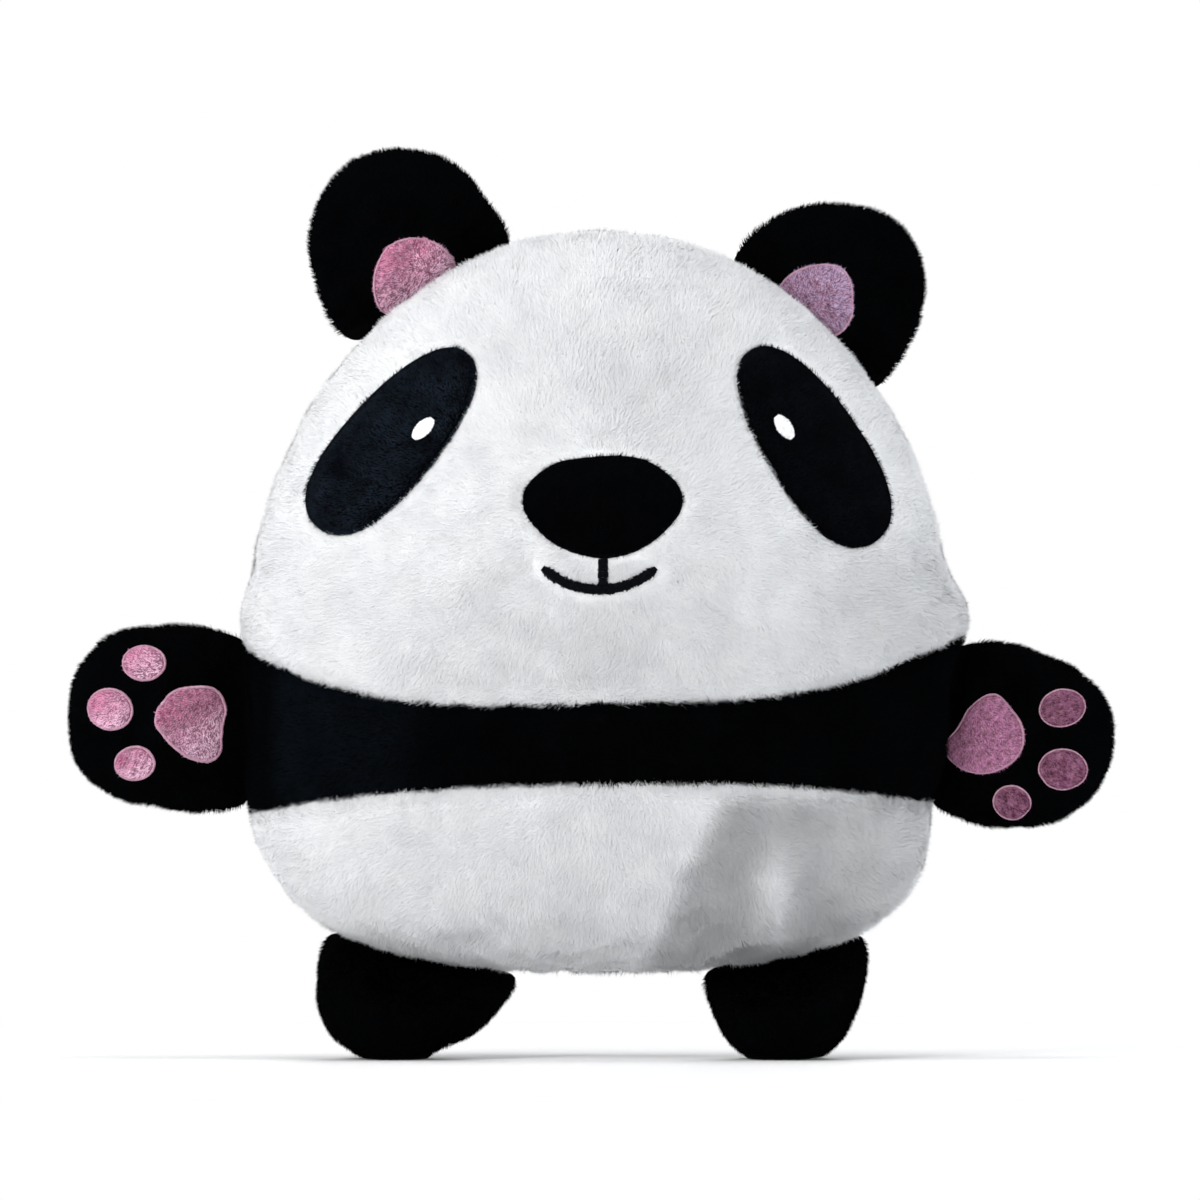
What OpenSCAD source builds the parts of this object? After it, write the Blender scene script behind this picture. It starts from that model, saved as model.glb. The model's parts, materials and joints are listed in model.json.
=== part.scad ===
// Plush panda: a stuffed pillow body whose ears, arms and feet are sewn into its outer seam.
// Millimetres. +Z is up, the face looks along -Y, and the soles stand on Z = 0.
// "left" and "right" are as seen by someone facing the toy: left is -X.

/* [Body] */
// Height of the crown above the floor
crown_z = 363.5; // [345:0.5:380]
// Height of the lowest point of the belly
belly_z = 37; // [34:0.5:42]
// Height at which the body is widest
waist_z = 190; // [180:1:200]
// Half of the body's width
body_half_width = 155.3; // [148:0.1:162]
// Half of the body's depth
body_half_depth = 78; // [68:1:86]
// Thickness of the plush fabric with its pile
plush_t = 3; // [2:0.5:4]

/* [Chest band] */
// Height of the band's upper seam at the middle of the front
band_top_z = 155.5; // [150:0.5:165]
// Height of the band's lower seam at the middle of the front
band_bottom_z = 121; // [110:0.5:125]
// How far the upper seam rises towards the arms
band_rise = 27; // [15:1:32]
// How far the lower seam drops towards the arms
band_drop = 11; // [4:1:14]

/* [Ears] */
// Radius of an ear
ear_radius = 44; // [38:1:48]
// Half of an ear's thickness
ear_half_t = 9; // [8:0.5:11]

/* [Arms] */
// Reach of an arm's mitt from its middle
arm_radius = 41; // [36:1:44]
// Half of an arm's thickness
arm_half_t = 16; // [12:0.5:16]

/* [Feet] */
// Half of a foot's depth, front to back
foot_half_t = 34; // [28:1:36]
// Thickness of the sole's fabric
sole_t = 2; // [1.5:0.5:3]

/* [Face and pads] */
// Half of the nose's width
nose_half_width = 35.4; // [28:0.2:38]
// Half of an eye patch's length
eye_half_length = 50; // [42:0.5:52]
// Half of an eye patch's width
eye_half_width = 20.5; // [16:0.5:22]
// Thickness of an applique patch
patch_t = 1; // [0.6:0.1:1.4]
// Thickness of the satin stitching round a patch
satin_d = 2.4; // [1.6:0.1:3]

/* [Hidden] */

WHITE = [0.94, 0.95, 0.97];
BLACK = [0.05, 0.05, 0.07];
PINK = [0.80, 0.52, 0.64];
PALE_PINK = [0.93, 0.74, 0.82];
FIBRE = [0.90, 0.90, 0.86];

FRONT = -1;
BACK = 1;
columns = 24;       // steps round half of the body
limb_columns = 32;  // steps round an ear, arm or foot
limb_rings = 4;     // steps from a limb's seam to its middle
patch_columns = 24; // steps round a patch
slice_power = 2.15; // roundness of a horizontal slice of the body
pole_level = 0.996; // where the panels close on the crown and under the belly
hinge_gap = 0.9;    // clearance between the body's outline and a limb's root
seam_split = 0.05;  // half of the gap between a front and a back panel
fill_gap = 1;       // room between the fabric and the stuffing

// Swellings of the outline beside the cheeks and the hips: [left, right]
cheek = [3.5, 8];
cheek_z = 193;
cheek_spread = 16;
hip = [3, -5];
hip_z = 110;
hip_spread = 25;

// ---------- small functions ----------

function power(v, e) = sign(v) * pow(abs(v), e);
function lobe(u, p, q) = pow(max(0, 1 - pow(min(1, abs(u)), p)), 1 / q);
function swell(z, centre, spread) = exp(-pow((z - centre) / spread, 2));
function unit(v) = v / norm(v);
function flat(rows) = [for (row = rows, p = row) p];

// Radius at an angle, smooth through radii that are spaced evenly round the circle.
function radius_at(radii, angle) =
    let (
        n = len(radii),
        u = (angle / 360 - floor(angle / 360)) * n,
        i = floor(u) % n,
        t = u - floor(u),
        a = radii[(i + n - 1) % n],
        b = radii[i],
        c = radii[(i + 1) % n],
        d = radii[(i + 2) % n]
    )
    b + 0.5 * t * (c - a + t * (2 * a - 5 * b + 4 * c - d + t * (3 * (b - c) + d - a)));

// ---------- the body's surface ----------

function level(z) =
    z < waist_z ? (waist_z - z) / (waist_z - belly_z) : (z - waist_z) / (crown_z - waist_z);
function pick(pair, x) = x < 0 ? pair[0] : pair[1];
function half_width(z, x) =
    body_half_width * (z < waist_z ? lobe(level(z), 4.6, 2.9) : lobe(level(z), 1.9, 2))
    + pick(cheek, x) * swell(z, cheek_z, cheek_spread)
    + pick(hip, x) * swell(z, hip_z, hip_spread);
function half_depth(z) =
    body_half_depth * (z < waist_z ? lobe(level(z), 3, 2.3) : lobe(level(z), 2, 2));

// A point of the body's surface at a height and an angle, moved inwards by inset.
function body_point(z, angle, inset) =
    let (
        c = cos(angle),
        s = sin(angle),
        w = half_width(z, c) - inset,
        d = half_depth(z) - inset,
        middle = (crown_z + belly_z) / 2,
        squeeze = 1 - inset / (crown_z - middle)
    )
    [
        max(w, 1) * power(c, 2 / slice_power),
        max(d, 0.5) * power(s, 2 / slice_power),
        middle + (z - middle) * squeeze
    ];

// The front of the body at x, z, and the point that lies h outside it.
function front_y(x, z) =
    -half_depth(z) * lobe(min(1, abs(x) / half_width(z, x)), slice_power, slice_power);
function front_point(x, z, h) =
    let (
        e = 0.5,
        slope_x = (front_y(x + e, z) - front_y(x - e, z)) / (2 * e),
        slope_z = (front_y(x, z + e) - front_y(x, z - e)) / (2 * e)
    )
    [x, front_y(x, z), z] + h * unit([slope_x, -1, slope_z]);

// The seam heights of the chest band, by how far out a column lies: -1 to 1.
seam_half = 0.15;   // half of the gap between a band and the panel next to it
function band_top(u) = band_top_z + band_rise * pow(abs(u), 3.4) + 2 * u;
function band_bottom(u) = band_bottom_z - band_drop * pow(abs(u), 2.4);

pole_top_z = waist_z + pole_level * (crown_z - waist_z);
pole_bottom_z = waist_z - pole_level * (waist_z - belly_z);

// ---------- solids from points ----------

// Triangles of a grid of points. A grid that wraps joins its last column to its first.
function grid_faces(rows, cols, start, flip, wraps = false) = [
    for (r = [0 : rows - 2], c = [0 : cols - (wraps ? 1 : 2)])
        let (
            a = start + r * cols + c,
            b = start + r * cols + (c + 1) % cols,
            d = a + cols,
            e = b + cols
        )
        each flip ? [[a, b, e], [a, e, d]] : [[a, e, b], [a, d, e]]
];

// A sheet with a thickness, between two grids of points of the same size.
module slab(outer, inner) {
    rows = len(outer);
    cols = len(outer[0]);
    n = rows * cols;
    edge = concat(
        [for (c = [0 : cols - 1]) c],
        [for (r = [1 : rows - 1]) r * cols + cols - 1],
        [for (c = [cols - 2 : -1 : 0]) (rows - 1) * cols + c],
        [for (r = [rows - 2 : -1 : 1]) r * cols]
    );
    rim = [
        for (k = [0 : len(edge) - 1])
            let (i = edge[k], j = edge[(k + 1) % len(edge)])
            each [[i, j, j + n], [i, j + n, i + n]]
    ];
    polyhedron(
        concat(flat(outer), flat(inner)),
        concat(grid_faces(rows, cols, 0, false), grid_faces(rows, cols, n, true), rim)
    );
}

// A disc with a thickness, between two lists of rings that run from the rim to a middle point.
module disc_slab(outer, outer_middle, inner, inner_middle) {
    rows = len(outer);
    cols = len(outer[0]);
    n = rows * cols;
    last = (rows - 1) * cols;
    fans = [
        for (c = [0 : cols - 1])
            let (i = last + c, j = last + (c + 1) % cols)
            each [[i, n, j], [i + n + 1, j + n + 1, 2 * n + 1]]
    ];
    rim = [
        for (c = [0 : cols - 1])
            let (i = c, j = (c + 1) % cols)
            each [[i, j, j + n + 1], [i, j + n + 1, i + n + 1]]
    ];
    polyhedron(
        concat(flat(outer), [outer_middle], flat(inner), [inner_middle]),
        concat(
            grid_faces(rows, cols, 0, false, true),
            grid_faces(rows, cols, n + 1, true, true),
            fans,
            rim
        )
    );
}

// A stack of level rings, closed by its first and last ring.
module loft(rings) {
    rows = len(rings);
    cols = len(rings[0]);
    polyhedron(
        flat(rings),
        concat(
            grid_faces(rows, cols, 0, false, true),
            [[for (c = [0 : cols - 1]) c]],
            [[for (c = [cols - 1 : -1 : 0]) (rows - 1) * cols + c]]
        )
    );
}

// A round thread along a path. Each path entry is [point, outward direction].
module thread(path, diameter, closed) {
    sides = 5;
    count = len(path);
    rings = [
        for (k = [0 : count - 1])
            let (
                before = path[closed ? (k + count - 1) % count : max(0, k - 1)][0],
                after = path[closed ? (k + 1) % count : min(count - 1, k + 1)][0],
                along = unit(after - before),
                across = unit(cross(along, path[k][1])),
                out = cross(across, along)
            )
            [
                for (s = [0 : sides - 1])
                    path[k][0] + diameter / 2 * (cos(360 * s / sides) * across + sin(360 * s / sides) * out)
            ]
    ];
    faces = grid_faces(count, sides, 0, true, true);
    seal = (count - 1) * sides;
    ends = closed
        ? [
            for (s = [0 : sides - 1])
                let (t = (s + 1) % sides)
                each [[seal + s, seal + t, t], [seal + s, t, s]]
        ]
        : [[for (s = [sides - 1 : -1 : 0]) s], [for (s = [0 : sides - 1]) seal + s]];
    polyhedron(flat(rings), concat(faces, ends));
}

// ---------- body panels ----------

// A panel of the front or back, from one seam height to another. Heights are functions of u.
module body_panel(side, low, high, rows, crowned, floored) {
    function height(r, u) =
        let (v = r / rows, bottom = low(u), top = high(u))
        floored ? top - (top - bottom) * sin(90 * (1 - v))
        : crowned ? bottom + (top - bottom) * sin(90 * v)
        : bottom + (top - bottom) * v;
    function flattened(r) = (crowned && r == rows) || (floored && r == 0);
    function rows_of(inset) = [
        for (r = [0 : rows]) [
            for (c = [0 : columns])
                let (
                    angle = 180 * c / columns,
                    u = cos(angle),
                    p = body_point(height(r, u), side * angle, inset)
                )
                [p.x, flattened(r) ? side * seam_split : p.y + side * seam_split, p.z]
        ]
    ];
    outer = rows_of(0);
    inner = rows_of(plush_t);
    if (side == FRONT)
        slab(inner, outer);
    else
        slab(outer, inner);
}

module head_panel(side) {
    color(WHITE)
        body_panel(side, function (u) band_top(u) + seam_half, function (u) pole_top_z, 9, true, false);
}

module chest_band(side) {
    color(BLACK)
        body_panel(
            side,
            function (u) band_bottom(u) + seam_half,
            function (u) band_top(u) - seam_half,
            3, false, false
        );
}

module belly_panel(side) {
    color(WHITE)
        body_panel(side, function (u) pole_bottom_z, function (u) band_bottom(u) - seam_half, 6, false, true);
}

module body_stuffing() {
    steps = 12;
    low = belly_z + 9;
    high = crown_z - 13;
    color(FIBRE)
        loft([
            for (r = [0 : steps])
                let (z = low + (high - low) * (1 - cos(180 * r / steps)) / 2)
                [for (c = [0 : limb_columns - 1]) body_point(z, 360 * c / limb_columns, plush_t + 5 * fill_gap)]
        ]);
}

// The hand stitches that close the stuffing hole, across the band's lower seam at the back.
module closing_stitches() {
    stitches = 9;
    pitch = 7;
    length = 7;
    lift = 0.8;
    color(WHITE)
        for (k = [0 : stitches - 1])
            let (
                x = pitch * (k - (stitches - 1) / 2),
                z = band_bottom(x / body_half_width),
                y = -front_y(x, z) + satin_d / 4 + lift
            )
            translate([x, y, z - length / 2])
                cylinder(h = length, d = satin_d / 2, $fn = 8);
}

// ---------- patches and stitching on the face ----------

function oval(centre, length, width, tilt, power_of) = [
    for (k = [0 : patch_columns - 1])
        let (
            angle = 360 * k / patch_columns,
            a = length * power(cos(angle), 2 / power_of),
            b = width * power(sin(angle), 2 / power_of)
        )
        [centre.x + a * cos(tilt) - b * sin(tilt), centre.y + a * sin(tilt) + b * cos(tilt)]
];
function shape(centre, radii, scale, turn) = [
    for (k = [0 : patch_columns - 1])
        let (angle = 360 * k / patch_columns, r = scale * radius_at(radii, angle))
        [centre.x + r * cos(angle + turn), centre.y + r * sin(angle + turn)]
];

// A patch of cloth laid on a surface. place(x, y, h) gives the point h outside the surface.
module patch(outline, centre, place, low, high) {
    shares = [1, 0.6];
    function rings(h) = [for (s = shares) [for (p = outline) let (q = centre + s * (p - centre)) place(q.x, q.y, h)]];
    disc_slab(rings(high), place(centre.x, centre.y, high), rings(low), place(centre.x, centre.y, low));
}

// Satin stitching along an outline, as a round cord half sunk beside the patch.
module satin_ring(outline, centre, place, diameter, lift) {
    path = [
        for (p = outline)
            let (
                q = p + unit(p - centre) * (diameter / 2 + edge_gap),
                at = place(q.x, q.y, lift),
                above = place(q.x, q.y, lift + 1)
            )
            [at, unit(above - at)]
    ];
    thread(path, diameter, true);
}

face_lift = 0.7; // room under a patch on the body
limb_lift = 0.9; // room under a patch on a limb
edge_gap = 0.7;  // room between a patch and the stitching round it
eye_centre = [[-91.1, 270.6], [93.3, 268]];
eye_tilt = [49, 123];
highlight_centre = [[-77.8, 276.7], [80.8, 276]];
highlight_tilt = [47, 127];
nose_centre = [1.5, 245.5];
nose_radii = [35.4, 28, 21.1, 18.5, 20.2, 27.5, 35.4, 30.8, 26.6, 25.5, 26.4, 29.5];
mouth_centre = [1.5, 205.3];
smile_radius = 33;
smile_half_angle = 46;
mouth_line_length = 15;

function face_place() = function (x, z, h) front_point(x, z, h);
function eye_outline(s) = oval(eye_centre[s], eye_half_length, eye_half_width, eye_tilt[s], 2.3);
function highlight_outline(s) = oval(highlight_centre[s], 6.1, 3.4, highlight_tilt[s], 2);
function nose_outline() = shape(nose_centre, nose_radii, nose_half_width / nose_radii[0], 0);

module eye_patch(s) {
    color(BLACK)
        patch(eye_outline(s), eye_centre[s], face_place(), face_lift, face_lift + patch_t);
}

module eye_edge_stitching(s) {
    color(BLACK)
        satin_ring(eye_outline(s), eye_centre[s], face_place(), satin_d, face_lift + satin_d / 2);
}

module eye_highlight(s) {
    low = face_lift + patch_t + 0.1;
    color("white")
        patch(highlight_outline(s), highlight_centre[s], face_place(), low, low + patch_t);
}

module nose_patch() {
    color(BLACK)
        patch(nose_outline(), nose_centre, face_place(), face_lift, face_lift + 1.6 * patch_t);
}

module nose_edge_stitching() {
    color(BLACK)
        satin_ring(nose_outline(), nose_centre, face_place(), satin_d, face_lift + satin_d / 2);
}

module mouth_smile_stitching() {
    steps = 14;
    thickness = 1.7 * satin_d;
    top = mouth_centre.y + smile_radius;
    path = [
        for (k = [0 : steps])
            let (
                angle = 270 + smile_half_angle * (2 * k / steps - 1),
                x = mouth_centre.x + smile_radius * cos(angle),
                z = top + smile_radius * sin(angle),
                at = front_point(x, z, face_lift + thickness / 2)
            )
            [at, unit(front_point(x, z, face_lift + thickness / 2 + 1) - at)]
    ];
    color(BLACK) thread(path, thickness, false);
}

module mouth_line_stitching() {
    steps = 4;
    thickness = 1.7 * satin_d;
    start = mouth_centre.y + thickness / 2 + edge_gap;
    finish = nose_centre.y - nose_half_width * nose_radii[9] / nose_radii[0] - satin_d - 2 * edge_gap;
    path = [
        for (k = [0 : steps])
            let (
                z = start + (finish - start) * k / steps,
                at = front_point(mouth_centre.x, z, face_lift + thickness / 2)
            )
            [at, [0, -1, 0]]
    ];
    color(BLACK) thread(path, thickness, false);
}

// ---------- limbs ----------
// A limb lies in its own plane: a runs outwards from its hinge line and b runs along the line.
// The hinge line just clears the body's outline, whose outward direction there is `out`.

outline_steps = 48;
body_outline = [
    for (x = [-1, 1], k = [0 : outline_steps])
        let (z = belly_z + (crown_z - belly_z) * (1 - cos(180 * k / outline_steps)) / 2)
        [x * half_width(z, x), z]
];
function reach_of_outline(out) = max([for (p = body_outline) p * [cos(out), sin(out)]]);
function hinge_point(anchor, out) =
    let (n = [cos(out), sin(out)])
    anchor + (reach_of_outline(out) + hinge_gap - anchor * n) * n;

// limb: [hinge point, outward angle, middle [a, b], radii, half thickness, profile power, taper, floor, mirror]
function limb_hinge(limb) = limb[0];
function limb_out(limb) = limb[1];
function limb_middle(limb) = limb[2];
function limb_reach(limb, angle) =
    let (free = radius_at(limb[3], angle), back = -cos(angle))
    back > 0.01 ? min(free, (limb_middle(limb)[0] - hinge_gap / 2) / back) : free;
function limb_half(limb, a, b) =
    let (
        m = limb_middle(limb),
        d = norm([a - m[0], b - m[1]]),
        share = d < 0.01 ? 0 : min(1, d / limb_reach(limb, atan2(b - m[1], a - m[0]))),
        rise = sin(90 * max(0, min(1, (a - hinge_gap / 2) / limb[6])))
    )
    limb[4] * lobe(share, limb[5], limb[5]) * rise;
function limb_world(limb, a, b, y, floor_z) =
    let (
        h = limb_hinge(limb),
        out = limb_out(limb),
        turn = out + limb[8] * 90,
        x = h.x + a * cos(out) + b * cos(turn),
        z = h.y + a * sin(out) + b * sin(turn)
    )
    [x, y, limb[7] ? max(z, floor_z) : z];

// The rings of a limb's front or back surface, moved inwards by inset.
function limb_rings_of(limb, side, inset, slack) = [
    for (k = [0 : limb_rings - 1])
        let (r = cos(90 * k / limb_rings))
        [
            for (c = [0 : limb_columns - 1])
                let (
                    angle = 360 * c / limb_columns,
                    d = r * (limb_reach(limb, angle) - inset),
                    a = limb_middle(limb)[0] + d * cos(angle),
                    b = limb_middle(limb)[1] + d * sin(angle),
                    y = k == 0 ? seam_split : max(slack, limb_half(limb, a, b) - inset)
                )
                limb_world(limb, a, b, side * y, sole_t + 0.1 + inset)
        ]
];
function limb_top(limb, side, inset) =
    let (m = limb_middle(limb))
    limb_world(limb, m[0], m[1], side * (limb_half(limb, m[0], m[1]) - inset), 0);

// A disc slab with the winding set by the side that it faces and by the limb's mirror.
module limb_slab(limb, side, outer, outer_middle, inner, inner_middle) {
    if (side * limb[8] < 0)
        disc_slab(outer, outer_middle, inner, inner_middle);
    else
        disc_slab(inner, inner_middle, outer, outer_middle);
}

module limb_panel(limb, side) {
    color(BLACK)
        limb_slab(
            limb, side,
            limb_rings_of(limb, side, 0, 2 * seam_split), limb_top(limb, side, 0),
            limb_rings_of(limb, side, plush_t, 2 * seam_split), limb_top(limb, side, plush_t)
        );
}

module limb_stuffing(limb) {
    inset = plush_t + fill_gap / 2;
    color(FIBRE)
        limb_slab(
            limb, FRONT,
            limb_rings_of(limb, FRONT, inset, seam_split), limb_top(limb, FRONT, inset),
            limb_rings_of(limb, BACK, inset, seam_split), limb_top(limb, BACK, inset)
        );
}

// Where patches on a limb's front lie.
function limb_place(limb) = function (a, b, h) limb_world(limb, a, b, -limb_half(limb, a, b) - h, 0);

module limb_patch(limb, outline, centre) {
    place = limb_place(limb);
    function rings(h) = [
        for (s = [1, 0.6]) [for (p = outline) let (q = centre + s * (p - centre)) place(q.x, q.y, h)]
    ];
    top = limb_lift + patch_t;
    color(PINK)
        limb_slab(
            limb, FRONT,
            rings(top), place(centre.x, centre.y, top),
            rings(limb_lift), place(centre.x, centre.y, limb_lift)
        );
}

module limb_satin(limb, outline, centre) {
    thickness = 0.8 * satin_d;
    path = [
        for (p = outline)
            let (q = p + unit(p - centre) * (thickness / 2 + edge_gap))
            [limb_place(limb)(q.x, q.y, limb_lift + thickness / 2), [0, -1, 0]]
    ];
    color(PALE_PINK)
        thread(limb[8] > 0 ? [for (k = [len(path) - 1 : -1 : 0]) path[k]] : path, thickness, true);
}

// ---------- ears: [left, right] ----------

ear_out = [120, 48.7];
ear_anchor = [
    [-0.502 * body_half_width, crown_z - 24.5],
    [0.602 * body_half_width, crown_z - 36.5]
];
ear_middle = [[17.7, 3.3], [9.9, -1.5]];
ear_radii = [
    [1.02, 0.99, 0.95, 0.92, 1.01, 1.08, 1.1, 1.08, 1.04, 1.02, 0.99, 1.02],
    [1, 0.97, 0.97, 1.02, 1.06, 1.08, 1.08, 1.08, 1, 0.92, 0.9, 0.96]
];
ear_taper = 15;
ear_patch_centre = [[10, -1.8], [10, 2.5]];
ear_patch_radii = [11, 11.5, 13, 15.5, 12, 7, 6, 7, 12, 15.5, 13, 11.5];

function ear(s) = [
    hinge_point(ear_anchor[s], ear_out[s]), ear_out[s], ear_middle[s],
    ear_radius * ear_radii[s], ear_half_t, 2, ear_taper, false, s == 0 ? -1 : 1
];
function ear_patch_outline(s) = shape(ear_patch_centre[s], ear_patch_radii, 1, 0);

module ear_panel(s, side) { limb_panel(ear(s), side); }
module ear_inner_patch(s) { limb_patch(ear(s), ear_patch_outline(s), ear_patch_centre[s]); }
module ear_patch_stitching(s) { limb_satin(ear(s), ear_patch_outline(s), ear_patch_centre[s]); }
module ear_stuffing(s) { limb_stuffing(ear(s)); }

// ---------- arms: [left, right] ----------

arm_out = [180, -10];
arm_z = [148, 146];
arm_middle = [33.5, 31.5];
arm_radii = [1, 1, 1, 1.03, 1.14, 1.45, 1.5, 1.45, 1.08, 0.95, 0.98, 1];
arm_taper = 36;
palm_centre = [[18.7, -0.1], [18, -2]];
palm_radii = [15.5, 13.9, 15.7, 14.6, 17.3, 13.4, 11.4, 13.4, 16.9, 14.5, 11.5, 10.5];
pad_turn = [0, -24.5];
toe_offset = [[22.5, 25.7], [36, 7.5], [26.3, -17.5]];
toe_size = [[8.2, 7], [9.5, 8], [7.7, 6.9]];

function arm(s) = [
    hinge_point([(s == 0 ? -1 : 1) * body_half_width, arm_z[s]], arm_out[s]), arm_out[s], [arm_middle[s], 0],
    arm_radius * arm_radii, arm_half_t, 2, arm_taper, false, s == 0 ? -1 : 1
];
function turned(v, angle) = [v.x * cos(angle) - v.y * sin(angle), v.x * sin(angle) + v.y * cos(angle)];
function palm_outline(s) = shape(palm_centre[s], palm_radii, 1, pad_turn[s]);
function toe_centre(s, k) = palm_centre[s] + turned(toe_offset[k], pad_turn[s]);
function toe_outline(s, k) = oval(toe_centre(s, k), toe_size[k].x, toe_size[k].y, pad_turn[s], 2);

module arm_panel(s, side) { limb_panel(arm(s), side); }
module palm_pad(s) { limb_patch(arm(s), palm_outline(s), palm_centre[s]); }
module toe_pad(s, k) { limb_patch(arm(s), toe_outline(s, k), toe_centre(s, k)); }
module pad_stitching(s) {
    limb_satin(arm(s), palm_outline(s), palm_centre[s]);
    for (k = [0 : 2])
        limb_satin(arm(s), toe_outline(s, k), toe_centre(s, k));
}
module arm_stuffing(s) { limb_stuffing(arm(s)); }

// ---------- feet: [left, right] ----------

foot_out = [257, -76.3];
foot_anchor = [[-80, belly_z + 4], [82, belly_z + 4.7]];
foot_middle = [[14, 6], [14, -3]];
foot_radii = [
    [32, 33.5, 35, 36.5, 44, 60, 60, 60, 60, 42.5, 33.5, 31.5],
    [31, 32, 33, 36, 45, 60, 60, 60, 38, 34, 33, 31]
];
foot_taper = 28;
sole_half = [[18, 25], [18, 25]];
sole_x = [-90, 79];

// A foot's b axis points away from the body's middle, so both feet turn the same way.
function foot(s) = [
    hinge_point(foot_anchor[s], foot_out[s]), foot_out[s], foot_middle[s],
    foot_radii[s], foot_half_t, 3, foot_taper, true, s == 0 ? -1 : 1
];

module foot_panel(s, side) { limb_panel(foot(s), side); }
module foot_stuffing(s) { limb_stuffing(foot(s)); }

// The sole: a flat oval of fabric that the toy stands on.
module foot_sole(s) {
    color(BLACK)
        translate([sole_x[s], 0, 0])
            linear_extrude(sole_t)
                polygon([
                    for (k = [0 : limb_columns - 1])
                        let (angle = 360 * k / limb_columns)
                        [sole_half[s].x * power(cos(angle), 0.85), sole_half[s].y * power(sin(angle), 0.85)]
                ]);
}

// ---------- nodes ----------

LEFT = 0;
RIGHT = 1;

head_panel(FRONT);  // head_front_panel
head_panel(BACK);  // head_back_panel
chest_band(FRONT);  // chest_band_front
chest_band(BACK);  // chest_band_back
belly_panel(FRONT);  // belly_front_panel
belly_panel(BACK);  // belly_back_panel
body_stuffing();
closing_stitches();
eye_patch(LEFT);  // eye_patch_left
eye_patch(RIGHT);  // eye_patch_right
eye_edge_stitching(LEFT);  // eye_edge_stitching_left
eye_edge_stitching(RIGHT);  // eye_edge_stitching_right
eye_highlight(LEFT);  // eye_highlight_left
eye_highlight(RIGHT);  // eye_highlight_right
nose_patch();
nose_edge_stitching();
mouth_smile_stitching();
mouth_line_stitching();
ear_panel(LEFT, FRONT);  // ear_front_panel_left
ear_panel(LEFT, BACK);  // ear_back_panel_left
ear_inner_patch(LEFT);  // ear_inner_patch_left
ear_patch_stitching(LEFT);  // ear_patch_stitching_left
ear_stuffing(LEFT);  // ear_stuffing_left
ear_panel(RIGHT, FRONT);  // ear_front_panel_right
ear_panel(RIGHT, BACK);  // ear_back_panel_right
ear_inner_patch(RIGHT);  // ear_inner_patch_right
ear_patch_stitching(RIGHT);  // ear_patch_stitching_right
ear_stuffing(RIGHT);  // ear_stuffing_right
arm_panel(LEFT, FRONT);  // arm_palm_panel_left
arm_panel(LEFT, BACK);  // arm_back_panel_left
palm_pad(LEFT);  // palm_pad_left
toe_pad(LEFT, 0);  // toe_pad_1_left
toe_pad(LEFT, 1);  // toe_pad_2_left
toe_pad(LEFT, 2);  // toe_pad_3_left
pad_stitching(LEFT);  // pad_stitching_left
arm_stuffing(LEFT);  // arm_stuffing_left
arm_panel(RIGHT, FRONT);  // arm_palm_panel_right
arm_panel(RIGHT, BACK);  // arm_back_panel_right
palm_pad(RIGHT);  // palm_pad_right
toe_pad(RIGHT, 0);  // toe_pad_1_right
toe_pad(RIGHT, 1);  // toe_pad_2_right
toe_pad(RIGHT, 2);  // toe_pad_3_right
pad_stitching(RIGHT);  // pad_stitching_right
arm_stuffing(RIGHT);  // arm_stuffing_right
foot_panel(LEFT, FRONT);  // foot_front_panel_left
foot_panel(LEFT, BACK);  // foot_back_panel_left
foot_sole(LEFT);  // foot_sole_left
foot_stuffing(LEFT);  // foot_stuffing_left
foot_panel(RIGHT, FRONT);  // foot_front_panel_right
foot_panel(RIGHT, BACK);  // foot_back_panel_right
foot_sole(RIGHT);  // foot_sole_right
foot_stuffing(RIGHT);  // foot_stuffing_right
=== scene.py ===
import json
import math

import bpy
import numpy as np
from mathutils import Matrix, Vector
from mathutils.kdtree import KDTree

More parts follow.
